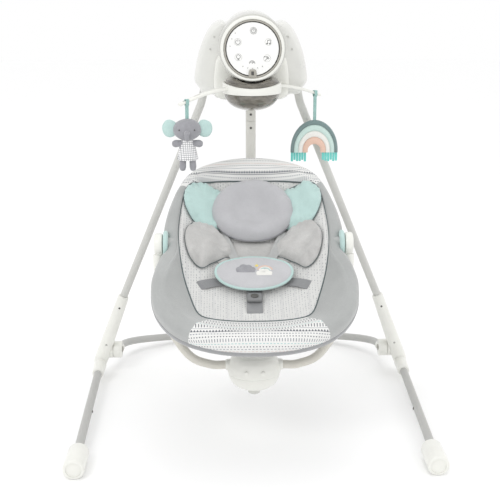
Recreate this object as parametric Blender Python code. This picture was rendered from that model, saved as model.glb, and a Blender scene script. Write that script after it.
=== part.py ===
"""Baby swing: a cradle seat that hangs on one arm from a motor head on an A-frame.

Metres, +Z up. The swing faces -Y, and its origin is on the floor, in the middle of its
footprint. Run it with: blender --background --python part.py
Every object is one sub-part. A moving piece hangs on an empty that stands on its joint.
"""

import math

import bmesh
import bpy
import numpy as np
from mathutils import Matrix, Vector

# ---- driving dimensions -------------------------------------------------------------
GAP = 0.0003  # left between pieces that touch
SIDES = {"left": -1, "right": 1}

LEG_PLANE_Y = 0.13  # the A-frame stands in this plane
LEG_R, LEG_WALL = 0.0095, 0.0012  # 19 mm steel tube
ARM_R, ARM_WALL = 0.012, 0.0012  # 24 mm steel tube
LEG_TOP = (0.102, 0.775)  # x, z of the upper leg's end, inside the motor head
LEG_BEND = (0.117, 0.700)
LEG_FOOT = (0.350, 0.141)  # the end that is pushed into the sleeve

SLEEVE_TOP = (0.3195, 0.2145)
SLEEVE_BOTTOM = (0.3845, 0.040)
LOWER_LEG_REAR = (0.384, 0.118, 0.0360)
LOWER_LEG_FRONT = (0.3755, -0.392, 0.0235)
FOOT_R, FOOT_LENGTH, FRONT_Y = 0.0225, 0.080, -0.405

KNUCKLE = (0.145, 0.065)  # y, z of the rear bow's fold axis
KNUCKLE_R = 0.0215
BOW_REAR_Y = 0.405

PIVOT = (0.0, LEG_PLANE_Y, 0.800)  # the arm swings about Y here
ARM_JOINT_Z = 0.656
ARM_LOW_Z = 0.1295
ARM_BEND_R = 0.10

SWIVEL = (0.0, -0.20, 0.0)  # the seat turns about Z here
HUB_SPLIT_Z = 0.147
SUPPORT_Z = 0.1655

RECLINE = (0.0, -0.155, 0.430)  # the seat tips about X here
INCLINE = math.radians(30.8)
RING_R = 0.008
SKIRT = 0.0135  # from the ring's centreline out to the fabric
BOWL_DEPTH = 0.072

SPLIT_Y = 0.145  # where the motor head's two shells meet
HEAD_FRONT_Y, HEAD_REAR_Y = 0.088, 0.200
DIAL = (0.0, -0.044, 0.838)
DIAL_R = 0.0745
GLOBE = (0.0, 0.015)
COLLAR_R = 0.0665
BAR_YAW = math.radians(27.5)
BAR_REACH = 0.1795
TOY_AT = 0.1655  # how far out along the bar the toys hang

TUBE_GREY = (0.60, 0.60, 0.58)
WHITE = (0.83, 0.83, 0.81)


# ---- small tools --------------------------------------------------------------------
def clear_scene():
    for obj in list(bpy.data.objects):
        bpy.data.objects.remove(obj)


def material(name, colour, roughness, metallic=0.0, alpha=1.0):
    """A Principled material, made once for each name."""
    if name in bpy.data.materials:
        return bpy.data.materials[name]
    mat = bpy.data.materials.new(name)
    mat.use_nodes = True
    shader = mat.node_tree.nodes["Principled BSDF"]
    shader.inputs["Base Color"].default_value = (*colour, 1.0)
    shader.inputs["Roughness"].default_value = roughness
    shader.inputs["Metallic"].default_value = metallic
    shader.inputs["Alpha"].default_value = alpha
    return mat


def white_plastic():
    return material("white_plastic", WHITE, 0.30)


def grey_tube():
    return material("grey_tube", TUBE_GREY, 0.42, 0.2)


def beige_tube():
    return material("beige_tube", (0.60, 0.59, 0.54), 0.42, 0.1)


def taupe():
    return material("taupe_plastic", (0.30, 0.29, 0.25), 0.35)


def plush_grey():
    return material("grey_plush", (0.42, 0.43, 0.42), 0.95)


def pivot(name, place, parent=None):
    """An empty on a joint's axis."""
    empty = bpy.data.objects.new(name, None)
    empty.location = Vector(place) - (world_place(parent) if parent else Vector())
    empty.parent = parent
    bpy.context.collection.objects.link(empty)
    return empty


def world_place(empty):
    place = Vector(empty.location)
    return place + world_place(empty.parent) if empty.parent else place


def build(name, bm, mat, on=None, angle=35):
    """Turns a bmesh in world coordinates into an object whose origin is its pivot."""
    bmesh.ops.recalc_face_normals(bm, faces=bm.faces)
    if on:
        bmesh.ops.translate(bm, verts=bm.verts, vec=-world_place(on))
    mesh = bpy.data.meshes.new(name)
    bm.to_mesh(mesh)
    bm.free()
    mesh.shade_smooth()
    mesh.set_sharp_from_angle(angle=math.radians(angle))
    obj = bpy.data.objects.new(name, mesh)
    bpy.context.collection.objects.link(obj)
    obj.data.materials.append(mat)
    obj.parent = on
    return obj


def boolean(obj, bm, operation):
    """Joins a second shape to obj, or cuts it away; both are in world coordinates."""
    other = build(f"{obj.name}_{operation.lower()}", bm, white_plastic(), obj.parent)
    other.hide_render = True
    other.display_type = "WIRE"
    modifier = obj.modifiers.new(operation, "BOOLEAN")
    modifier.operation = operation
    modifier.object = other
    modifier.solver = "EXACT"


def cut(obj, bm):
    boolean(obj, bm, "DIFFERENCE")


def join(obj, bm):
    boolean(obj, bm, "UNION")


def box(low, high, bevel=0.0):
    bm = bmesh.new()
    bmesh.ops.create_cube(bm, size=1.0)
    low, high = Vector(low), Vector(high)
    for vert in bm.verts:
        vert.co = Vector(
            (high[k] if vert.co[k] > 0 else low[k]) for k in range(3)
        )
    if bevel:
        bmesh.ops.bevel(
            bm, geom=bm.edges[:], offset=bevel, segments=2, profile=0.5, affect="EDGES"
        )
    return bm


def turned(profile, steps=32, closed=False, axis="Z", at=(0, 0, 0)):
    """Spins (radius, height) points about an axis; closed profiles make rings."""
    bm = bmesh.new()
    verts = [bm.verts.new((radius, 0, height)) for radius, height in profile]
    ends = verts[1:] + (verts[:1] if closed else [])
    edges = [bm.edges.new(pair) for pair in zip(verts, ends)]
    bmesh.ops.spin(
        bm, geom=verts + edges, cent=(0, 0, 0), axis=(0, 0, 1),
        angle=math.tau, steps=steps, use_merge=True,
    )
    bmesh.ops.remove_doubles(bm, verts=bm.verts, dist=1e-5)
    turn = {
        "Z": Matrix(),
        "X": Matrix.Rotation(math.pi / 2, 4, "Y"),
        "Y": Matrix.Rotation(-math.pi / 2, 4, "X"),
    }[axis]
    bmesh.ops.transform(bm, matrix=Matrix.Translation(at) @ turn, verts=bm.verts)
    return bm


def disc(radius, low, high, axis, at, edge=0.0, steps=20):
    """A turned disc from low to high along the axis, with its rims chamfered."""
    rim = [(radius, low), (radius, high)]
    if edge:
        rim = [
            (radius - edge, low), (radius, low + edge),
            (radius, high - edge), (radius - edge, high),
        ]
    return turned([(0, low), *rim, (0, high)], steps, axis=axis, at=at)


def washer(inner, outer, low, high, axis, at, steps=20):
    profile = [(inner, low), (outer, low), (outer, high), (inner, high)]
    return turned(profile, steps, closed=True, axis=axis, at=at)


def ellipsoid(centre, radii, across=8, up=6):
    bm = bmesh.new()
    bmesh.ops.create_uvsphere(bm, u_segments=across, v_segments=up, radius=1.0)
    place = Matrix.Translation(centre) @ Matrix.Diagonal((*radii, 1.0))
    bmesh.ops.transform(bm, matrix=place, verts=bm.verts)
    return bm


def curve_through(points, per_span=6, closed=False):
    """Points along a smooth curve through the given ones."""
    given = [Vector(p) for p in points]
    count = len(given)
    spans = count if closed else count - 1
    found = []
    for i in range(spans):
        if closed:
            a, b, c, d = (given[(i + k) % count] for k in (-1, 0, 1, 2))
        else:
            a, b = given[max(i - 1, 0)], given[i]
            c, d = given[i + 1], given[min(i + 2, count - 1)]
        for step in range(per_span):
            t = step / per_span
            found.append(
                0.5 * (2 * b + (c - a) * t + (2 * a - 5 * b + 4 * c - d) * t**2
                       + (3 * b - a - 3 * c + d) * t**3)
            )
    return found if closed else [*found, given[-1]]


def bent_path(points, radius, steps=7):
    """Straight runs joined by arcs, as a tube bender makes them."""
    points = [Vector(p) for p in points]
    found = [points[0]]
    for before, corner, after in zip(points, points[1:], points[2:]):
        to_before = (before - corner).normalized()
        to_after = (after - corner).normalized()
        half = to_before.angle(to_after) / 2
        centre = corner + (to_before + to_after).normalized() * radius / math.sin(half)
        start = (corner + to_before * radius / math.tan(half) - centre).normalized()
        end = (corner + to_after * radius / math.tan(half) - centre).normalized()
        for step in range(steps + 1):
            found.append(centre + radius * start.slerp(end, step / steps))
    return [*found, points[-1]]


def loft(loops, caps=True, around=False):
    """Quads between loops of equal length, with an n-gon at each end."""
    bm = bmesh.new()
    rows = [[bm.verts.new(point) for point in loop] for loop in loops]
    pairs = zip(rows, rows[1:] + (rows[:1] if around else []))
    for row, following in pairs:
        for k, vert in enumerate(row):
            after = (k + 1) % len(row)
            bm.faces.new((vert, row[after], following[after], following[k]))
    if caps and not around:
        bm.faces.new(rows[0])
        bm.faces.new(rows[-1])
    return bm


def rings_along(path, radii, sides):
    """Circles square to a path, turned as little as they can be from one to the next."""
    path = [Vector(p) for p in path]
    ahead = [
        (path[min(i + 1, len(path) - 1)] - path[max(i - 1, 0)]).normalized()
        for i in range(len(path))
    ]
    across = ahead[0].orthogonal().normalized()
    loops = []
    for i, point in enumerate(path):
        across = (across - ahead[i] * across.dot(ahead[i])).normalized()
        other = ahead[i].cross(across)
        angles = [math.tau * (k + 0.5) / sides for k in range(sides)]
        loops.append([
            point + radii[i] * (across * math.cos(a) + other * math.sin(a))
            for a in angles
        ])
    return loops


def tube(path, radius, wall=0.0, sides=16):
    """A tube along a path: hollow and open at its ends, or solid if it has no wall."""
    radii = radius if isinstance(radius, list) else [radius] * len(path)
    outer = rings_along(path, radii, sides)
    if not wall:
        return loft(outer)
    inner = rings_along(path, [r - wall for r in radii], sides)
    return loft(outer + inner[::-1], around=True)


def extruded(outline, low, high, axis="Y", bevel=0.0):
    """An outline pushed along Y (its points are x, z), Z (x, y) or X (y, z)."""
    order = {"Y": (0, 2, 1), "Z": (0, 1, 2), "X": (1, 2, 0)}[axis]

    def at(point, height):
        spot = [0.0, 0.0, 0.0]
        spot[order[0]], spot[order[1]], spot[order[2]] = point[0], point[1], height
        return spot

    bm = loft([[at(p, height) for p in outline] for height in (low, high)])
    if bevel:
        rims = [e for e in bm.edges if any(len(f.verts) > 4 for f in e.link_faces)]
        bmesh.ops.bevel(
            bm, geom=rims, offset=bevel, segments=2, profile=0.5, affect="EDGES"
        )
    return bm


def mirrored(points):
    """A right half outline, bottom to top, made whole."""
    return points + [(-x, z) for x, z in points[::-1] if abs(x) > 1e-6]


# ---- motor head ---------------------------------------------------------------------
HEAD_CENTRE = Vector((0.0, 0.81))
HEAD_HALF = [  # x, z of the head's silhouette, from the middle of its foot to its crown
    (0.0, 0.712), (0.050, 0.712), (0.080, 0.713), (0.090, 0.7205), (0.114, 0.7225),
    (0.122, 0.737), (0.132, 0.752), (0.1305, 0.778), (0.1205, 0.823), (0.105, 0.860),
    (0.089, 0.882), (0.072, 0.890), (0.0575, 0.8860), (0.040, 0.9009),
    (0.021, 0.9095), (0.0, 0.912),
]


def head_section(y, scale):
    """The head's silhouette at one depth, drawn in towards its centre by scale."""
    centre = HEAD_CENTRE
    return [
        (centre.x + (x - centre.x) * scale, y, centre.y + (z - centre.y) * scale)
        for x, z in mirrored(HEAD_HALF)
    ]


def head_shell(face_y, rim_y, wall=0.0026, scale_in=0.972):
    """Half of the head: a domed face at face_y, open at rim_y, hollow inside."""
    inward = 1 if rim_y > face_y else -1
    depths = [(0.0, 0.90), (0.006, 0.965), (0.020, 1.0)]
    outer = [head_section(face_y + inward * d, s) for d, s in depths]
    outer.append(head_section(rim_y, 1.0))
    inner = [head_section(rim_y, scale_in)]
    inner += [
        head_section(face_y + inward * (d + wall), s * scale_in)
        for d, s in reversed(depths)
    ]
    return loft(outer + inner)


def leg_point(sign, place):
    return Vector((sign * place[0], LEG_PLANE_Y, place[1]))


def leg_path(sign):
    points = [leg_point(sign, place) for place in (LEG_TOP, LEG_BEND, LEG_FOOT)]
    return bent_path(points, 0.12, 4)


def motor_head():
    front = build("housing_front", head_shell(HEAD_FRONT_Y, SPLIT_Y - GAP), white_plastic())
    rear = build("housing_rear", head_shell(HEAD_REAR_Y, SPLIT_Y), white_plastic())
    for shell in (front, rear):
        cut(shell, box((-0.040, 0.106, 0.700), (0.040, 0.156, 0.730)))
    for side, sign in SIDES.items():
        foot, top = leg_point(sign, LEG_BEND), leg_point(sign, LEG_TOP)
        below = foot + (foot - top).normalized() * 0.010
        cut(front, tube([below, foot, top, top + (top - foot) * 0.05], LEG_R + 0.001, sides=14))
        battery_door(side, sign, rear)
        cells = [
            (0, 0.1085), (0.0055, 0.1085), (0.0055, 0.110), (0.0131, 0.110),
            (0.0131, 0.1475), (0.0060, 0.1475), (0.0060, 0.149), (0.0131, 0.149),
            (0.0131, 0.1865), (0, 0.1865),
        ]
        build(
            f"battery_{side}",
            turned(cells, 16, axis="Y", at=(sign * 0.087, 0, 0.8115)),
            material("battery_case", (0.10, 0.10, 0.11), 0.4),
        )
    steel = material("bright_steel", (0.62, 0.62, 0.64), 0.25, 1.0)
    build("pivot_shaft", disc(0.006, 0.094, 0.188, "Y", (0, 0, PIVOT[2]), 0.0008, 20), steel)
    copper = material("copper_winding", (0.55, 0.27, 0.13), 0.4, 0.9)
    build("drive_coil", washer(0.006, 0.019, 0.0935, 0.1015, "Y", (0, 0, 0.752), 24), copper)
    circuit = material("circuit_board", (0.03, 0.16, 0.07), 0.5)
    build("circuit_board", disc(0.056, -0.0362, -0.0346, "Y", (0, 0, DIAL[2]), 0, 28), circuit)
    cone = [
        (0, 0.004), (0.008, 0.004), (0.024, -0.005), (0.027, -0.005),
        (0.027, 0.0), (0.014, 0.012), (0.014, 0.024), (0, 0.024),
    ]
    dark = material("dark_plastic", (0.05, 0.05, 0.055), 0.5)
    build("speaker", turned(cone, 18, axis="Y", at=(0, -0.012, DIAL[2])), dark)


def battery_door(side, sign, rear):
    """A door in the back of the head, and the opening that it closes."""
    inner, outer = sorted((sign * 0.0645, sign * 0.1095))
    cut(rear, box((inner, 0.180, 0.7775), (outer, 0.210, 0.8465)))
    hinge = pivot(f"battery_door_{side}_hinge", (sign * 0.087, 0.199, 0.7785))
    low = (inner + 0.0005, 0.1945, 0.7780)
    high = (outer - 0.0005, 0.1995, 0.8460)
    build(f"battery_door_{side}", box(low, high, 0.0008), white_plastic(), hinge)


def control_pod():
    back, lip, front = HEAD_FRONT_Y - GAP, -0.0225, DIAL[1]
    profile = [
        (0.0, back), (DIAL_R - 0.002, back), (DIAL_R, back - 0.003),
        (DIAL_R, lip + 0.004), (DIAL_R - 0.002, lip + 0.001), (0.0690, lip),
        (0.0690, front + 0.002), (0.0675, front), (0.0645, front), (0.0631, front + 0.0015),
        (0.0631, front + 0.0075), (0.0610, front + 0.0075), (0.0610, lip),
        (DIAL_R - 0.0028, lip + 0.005), (DIAL_R - 0.0028, back - 0.003), (0.0, back - 0.003),
    ]
    build("dial_pod", turned(profile, 32, axis="Y", at=(0, 0, DIAL[2])), white_plastic())

    face = build(
        "control_face",
        disc(0.0572, front + 0.0015, front + 0.0040, "Y", (0, 0, DIAL[2]), 0, 32),
        material("face_white", (0.86, 0.86, 0.85), 0.25),
    )
    buttons = {
        "timer": (0.002, 0.0390), "power": (-0.0320, 0.0150), "music": (0.0345, 0.0150),
        "light": (-0.0310, -0.0175), "nature": (0.0315, -0.0200),
    }
    for name, (x, z) in buttons.items():
        place = (x, 0, DIAL[2] + z)
        low, high = front + 0.0013, front + 0.0046
        cut(face, disc(0.0080, low - 0.002, high + 0.002, "Y", place, 0, 14))
        on = pivot(f"{name}_button_slide", (x, front, DIAL[2] + z))
        body = disc(0.0080 - GAP, low, high, "Y", place, 0, 14)
        build(f"{name}_button", body, face.data.materials[0], on)

    turn = pivot("speed_ring_hinge", (0, front, DIAL[2]))
    ring = build(
        "speed_ring",
        washer(0.0577, 0.0626, front - 0.0005, front + 0.0070, "Y", (0, 0, DIAL[2]), 32),
        taupe(), turn,
    )
    tab_low, tab_high = DIAL[2] - 0.0605, DIAL[2] - 0.0440
    tab = box((-0.0085, front - 0.0022, tab_low), (0.0085, front + 0.0012, tab_high), 0.0010)
    join(ring, tab)


def globe_and_bar():
    lens = [
        (0.0, 0.6970), (0.0230, 0.6990), (0.0430, 0.7065), (0.0575, 0.7210),
        (0.0635, 0.7340), (0.0635, 0.7365), (0.0613, 0.7365), (0.0613, 0.7622),
        (0.0592, 0.7622), (0.0592, 0.7340), (0.0550, 0.7220), (0.0415, 0.7085),
        (0.0220, 0.7012), (0.0, 0.6992),
    ]
    smoke = material("smoked_lens", (0.30, 0.28, 0.24), 0.08, 0.0, 0.6)
    build("globe_lens", turned(lens, 28, at=(*GLOBE, 0)), smoke)
    board = material("circuit_board", (0.03, 0.16, 0.07), 0.5)
    build("light_board", disc(0.0500, 0.7480, 0.7500, "Z", (*GLOBE, 0), 0, 28), board)

    swivel = pivot("toy_bar_swivel", (*GLOBE, 0.745))
    loops = []
    for k in range(32):
        angle = math.tau * k / 32
        out = Vector((math.cos(angle), math.sin(angle), 0))
        top = 0.7525 + 0.0085 * math.cos(angle) ** 2
        section = [
            (0.0620, 0.7370), (COLLAR_R - 0.0015, 0.7370), (COLLAR_R, 0.7390),
            (COLLAR_R, top - 0.0015), (COLLAR_R - 0.0015, top), (0.0620, top),
        ]
        loops.append([Vector((*GLOBE, z)) + out * r for r, z in section])
    bar = build("toy_bar", loft(loops, around=True), white_plastic(), swivel)
    for heading in (BAR_YAW, BAR_YAW + math.pi):
        join(bar, bar_arm(heading))
    for heading, name in ((BAR_YAW, "rainbow"), (BAR_YAW + math.pi, "elephant")):
        for start, end in ((TOY_AT - 0.0065, TOY_AT + 0.0065), (TOY_AT - 0.036, TOY_AT - 0.020)):
            slot = box((start, -0.0030, 0.70), (end, 0.0030, 0.76))
            place_on_bar(slot, heading)
            cut(bar, slot)
        toy(name, heading, swivel)


def bar_line(reach):
    """Height of the toy bar's centreline at a distance from the globe's axis."""
    along = (reach - 0.060) / (BAR_REACH - 0.060)
    return 0.7490 - 0.0275 * along**1.7


def place_on_bar(bm, heading):
    turn = Matrix.Translation((*GLOBE, 0)) @ Matrix.Rotation(heading, 4, "Z")
    bmesh.ops.transform(bm, matrix=turn, verts=bm.verts)


def bar_arm(heading):
    loops = []
    steps = 6
    for k in range(steps + 1):
        along = k / steps
        reach = 0.0640 + (BAR_REACH - 0.0640) * along
        half_width = 0.0065 + 0.0020 * min(along * 3, 1.0)
        half_height = 0.0042 - 0.0012 * along
        if k == steps:
            half_width, half_height = half_width * 0.6, half_height * 0.6
        height = bar_line(reach)
        corner = 0.0012
        loops.append([
            (reach, -half_width, height - half_height + corner),
            (reach, -half_width + corner, height - half_height),
            (reach, half_width - corner, height - half_height),
            (reach, half_width, height - half_height + corner),
            (reach, half_width, height + half_height - corner),
            (reach, half_width - corner, height + half_height),
            (reach, -half_width + corner, height + half_height),
            (reach, -half_width, height + half_height - corner),
        ])
    bm = loft(loops)
    place_on_bar(bm, heading)
    return bm


def toy(name, heading, swivel):
    """A soft toy and the loop of strap that it hangs by, round the bar's front rail."""
    front = -1 if abs(heading - BAR_YAW) < 0.1 else 1
    rail_low, rail_high = 0.0030, 0.0085
    height = bar_line(TOY_AT)
    middle = front * (rail_low + rail_high) / 2
    along, across = math.cos(heading), math.sin(heading)
    at = Vector((*GLOBE, 0)) + Vector((
        TOY_AT * along - middle * across, TOY_AT * across + middle * along, height
    ))
    hinge = pivot(f"{name}_hang", at, swivel)
    outer, inner, rise = 0.0054, 0.0042, 0.0055
    below = height - rise
    strap = extruded(
        [(middle - outer, below - 0.0014), (middle + outer, below - 0.0014),
         (middle + outer, height + rise + 0.0014), (middle - outer, height + rise + 0.0014)],
        TOY_AT - 0.0042, TOY_AT + 0.0042, "X",
    )
    place_on_bar(strap, heading)
    mint = material("mint_fabric", (0.52, 0.68, 0.65), 0.9)
    obj = build(f"{name}_toy", strap, mint, hinge)
    hole = extruded(
        [(middle - inner, height - rise), (middle + inner, height - rise),
         (middle + inner, height + rise), (middle - inner, height + rise)],
        TOY_AT - 0.0062, TOY_AT + 0.0062, "X",
    )
    place_on_bar(hole, heading)
    cut(obj, hole)
    top = 0.6900 if name == "elephant" else 0.6620
    tail = box((TOY_AT - 0.0042, middle - 0.0010, top - 0.006),
               (TOY_AT + 0.0042, middle + 0.0010, below - 0.0005))
    place_on_bar(tail, heading)
    join(obj, tail)
    if name == "elephant":
        elephant(obj, at.x, at.y)
    else:
        rainbow(obj, at.x, at.y)


def elephant(obj, x, y):
    for part in (
        ellipsoid((x, y, 0.6665), (0.0325, 0.0220, 0.0255)),
        ellipsoid((x, y - 0.0235, 0.6560), (0.0065, 0.0080, 0.0110), 8, 5),
        ellipsoid((x - 0.0415, y + 0.002, 0.6700), (0.0135, 0.0070, 0.0195), 8, 5),
        ellipsoid((x + 0.0415, y + 0.002, 0.6700), (0.0135, 0.0070, 0.0195), 8, 5),
        turned([(0, 0.600), (0.0205, 0.600), (0.0215, 0.603), (0.0125, 0.645), (0, 0.645)],
               14, at=(x, y, 0)),
        ellipsoid((x, y, 0.6330), (0.0320, 0.0080, 0.0080), 8, 5),
        ellipsoid((x - 0.0110, y, 0.5910), (0.0078, 0.0078, 0.0170), 8, 5),
        ellipsoid((x + 0.0110, y, 0.5910), (0.0078, 0.0078, 0.0170), 8, 5),
    ):
        join(obj, part)


def rainbow(obj, x, y):
    arch = []
    for k in range(15):
        angle = math.pi * k / 14
        arch.append((x + 0.0560 * math.cos(angle), 0.5990 + 0.0645 * math.sin(angle)))
    inside = []
    for k in range(9):
        angle = math.pi * (8 - k) / 8
        inside.append((x + 0.0190 * math.cos(angle), 0.5990 + 0.0190 * math.sin(angle)))
    outline = [
        (x + 0.0560, 0.5700), *arch, (x - 0.0560, 0.5700),
        (x - 0.0190, 0.5700), *inside, (x + 0.0190, 0.5700),
    ]
    join(obj, extruded(outline, y - 0.0055, y + 0.0055, "Y"))


# ---- stand --------------------------------------------------------------------------
def stand():
    for side, sign in SIDES.items():
        build(f"leg_upper_{side}", tube(leg_path(sign), LEG_R, LEG_WALL, 14), grey_tube())
        sleeve(side, sign)
        rear = Vector((sign * LOWER_LEG_REAR[0], *LOWER_LEG_REAR[1:]))
        front = Vector((sign * LOWER_LEG_FRONT[0], *LOWER_LEG_FRONT[1:]))
        lower = build(f"leg_lower_{side}", tube([rear, front], LEG_R, LEG_WALL, 14), grey_tube())
        foot(side, sign, rear, front)
        middle = rear.lerp(front, 0.52)
        along_y = {"axis": "X", "at": (0, middle.y, middle.z)}
        outer, inner = sign * (abs(middle.x) - 0.0118), sign * (abs(middle.x) - 0.0060)
        cut(lower, disc(0.0034, *sorted((outer, inner + sign * 0.001)), **along_y, steps=12))
        slide = pivot(f"leg_snap_{side}_slide", (outer, middle.y, middle.z))
        snap = disc(0.0030, *sorted((outer + sign * 0.0008, inner)), **along_y, steps=12)
        build(f"leg_snap_{side}", snap, material("dark_plastic", (0.05, 0.05, 0.055), 0.5), slide)


def sleeve(side, sign):
    """The elbow that holds the upper leg, the lower leg and the rear bow's knuckle."""
    top = Vector((sign * SLEEVE_TOP[0], LEG_PLANE_Y, SLEEVE_TOP[1]))
    bottom = Vector((sign * SLEEVE_BOTTOM[0], LEG_PLANE_Y, SLEEVE_BOTTOM[1]))
    shares = [0.0, 0.02, 0.95, 1.04, 1.085]
    radii = [0.0125, 0.0136, 0.0172, 0.0150, 0.0090]
    path = [top.lerp(bottom, share) for share in shares]
    obj = build(f"leg_sleeve_{side}", tube(path, radii, sides=16), white_plastic())
    rear = Vector((sign * LOWER_LEG_REAR[0], *LOWER_LEG_REAR[1:]))
    front = Vector((sign * LOWER_LEG_FRONT[0], *LOWER_LEG_FRONT[1:]))
    ahead = (front - rear).normalized()
    spout = [rear + ahead * d for d in (0.004, 0.058, 0.0600)]
    join(obj, tube(spout, [0.0158, 0.0142, 0.0128], sides=14))
    y, z = KNUCKLE
    ends = sorted((sign * 0.3520, sign * 0.3760))
    cut(obj, disc(KNUCKLE_R + 0.001, *sorted((sign * 0.3250, sign * 0.3520)), "X", (0, y, z)))
    join(obj, disc(KNUCKLE_R, *ends, "X", (0, y, z)))
    cut(obj, tube([rear - ahead * 0.0004, rear + ahead * 0.10], LEG_R + GAP, sides=14))
    foot_end = leg_point(sign, LEG_FOOT)
    up = (leg_point(sign, LEG_BEND) - foot_end).normalized()
    cut(obj, tube([foot_end - up * 0.0004, foot_end + up * 0.12], LEG_R + GAP, sides=14))


def foot(side, sign, rear, front):
    """A round foot with a narrow flat underneath, pushed onto the lower leg."""
    x = sign * LOWER_LEG_FRONT[0]
    flat = math.radians(17)
    outline = [
        (x + FOOT_R * math.sin(a), FOOT_R * math.cos(flat) - FOOT_R * math.cos(a))
        for a in (flat + (math.tau - 2 * flat) * k / 20 for k in range(21))
    ]
    body = extruded(outline, FRONT_Y, FRONT_Y + FOOT_LENGTH, "Y", 0.0016)
    obj = build(f"foot_{side}", body, white_plastic())
    ahead = (front - rear).normalized()
    cut(obj, tube([front - ahead * 0.12, front + ahead * 0.0004], LEG_R + GAP, sides=14))


def rear_bow():
    y, z = KNUCKLE
    axis = pivot("rear_bow_hinge", (0, y, z))
    reach = math.hypot(BOW_REAR_Y - LEG_R - y, z - LEG_R)
    fall = math.atan2(z - LEG_R, BOW_REAR_Y - LEG_R - y)
    half = [
        (0.3390, 0.0080), (0.3400, 0.055), (0.3260, 0.120), (0.2750, 0.174),
        (0.1450, 0.2340), (0.0, reach),
    ]
    plan = half + [(-x, t) for x, t in half[-2::-1]]
    route = [
        (x, y + t * math.cos(fall), z - t * math.sin(fall))
        for x, t, _ in curve_through([(*p, 0.0) for p in plan], 2)
    ]
    build("rear_bow", tube(route, LEG_R, LEG_WALL, 12), grey_tube(), axis)
    for side, sign in SIDES.items():
        ends = sorted((sign * 0.3305, sign * (0.3520 - GAP)))
        body = disc(KNUCKLE_R, *ends, "X", (0, y, z))
        knuckle = build(f"bow_knuckle_{side}", body, white_plastic(), axis)
        out = Vector((0, math.cos(fall), -math.sin(fall)))
        start = Vector((sign * 0.3390, y, z))
        join(knuckle, tube([start + out * 0.010, start + out * 0.034], 0.0122, sides=14))
        first, second = Vector(route[0]), Vector(route[1])
        mouth = [first - (second - first).normalized() * 0.0004, *map(Vector, route[:4])]
        mouth = [Vector((sign * p.x, p.y, p.z)) for p in mouth]
        cut(knuckle, tube(mouth, LEG_R + 0.0005, sides=12))
        inner = sign * 0.3285
        place = {"axis": "X", "at": (0, y, z)}
        cut(knuckle, disc(0.0080, *sorted((inner, sign * 0.3313)), **place, steps=16))
        slide = pivot(f"fold_button_{side}_slide", (inner, y, z), axis)
        cap = disc(0.0080 - GAP, *sorted((sign * 0.3283, sign * 0.3300)), **place, steps=16)
        build(f"fold_button_{side}", cap, taupe(), slide)


# ---- swing arm and hubs -------------------------------------------------------------
def swing_arm():
    hinge = pivot("arm_hinge", PIVOT)
    x, y, z = PIVOT
    yoke = build(
        "arm_yoke", disc(0.021, 0.1120, 0.1480, "Y", (0, 0, z)),
        material("grey_moulding", (0.35, 0.35, 0.36), 0.45), hinge,
    )
    join(yoke, disc(0.0160, z - 0.062, z - 0.008, "Z", (0, y, 0), 0.0008))
    cut(yoke, disc(0.0090, 0.100, 0.160, "Y", (0, 0, z)))
    cut(yoke, disc(ARM_R + 2 * GAP, z - 0.080, z - 0.0317, "Z", (0, y, 0), 0, 14))
    brass = material("bronze_bush", (0.55, 0.40, 0.18), 0.35, 1.0)
    bush = washer(0.0063, 0.0087, 0.1125, 0.1475, "Y", (0, 0, z), 24)
    build("pivot_bush", bush, brass, hinge)
    magnet = material("magnet", (0.30, 0.30, 0.32), 0.3, 1.0)
    build("drive_magnet", disc(0.013, 0.1050, 0.1135, "Y", (0, 0, 0.752), 0.0006, 20), magnet,
          hinge)

    upper = [(0, y, ARM_JOINT_Z + GAP), (0, y, z - 0.0320)]
    build("arm_upper", tube(upper, ARM_R, ARM_WALL, 14), grey_tube(), hinge)
    run = bent_path(
        [(0, y, ARM_JOINT_Z), (0, y, ARM_LOW_Z), (0, SWIVEL[1] + 0.016, ARM_LOW_Z)],
        ARM_BEND_R, 7,
    )
    neck_r = ARM_R - ARM_WALL - 2 * GAP
    neck = [(0, y, ARM_JOINT_Z + 0.035), (0, y, ARM_JOINT_Z + 0.0002)]
    radii = [neck_r] * 2 + [ARM_R] * len(run)
    build("arm_lower", tube(neck + run, radii, ARM_WALL, 14), grey_tube(), hinge)
    return hinge


def oval_stack(rows, centre, sides=24):
    """Ovals of (z, half x, half y) round a vertical line, one above another."""
    angles = [math.tau * k / sides for k in range(sides)]
    return loft([
        [(centre[0] + a * math.cos(t), centre[1] + b * math.sin(t), z) for t in angles]
        for z, a, b in rows
    ])


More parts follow.
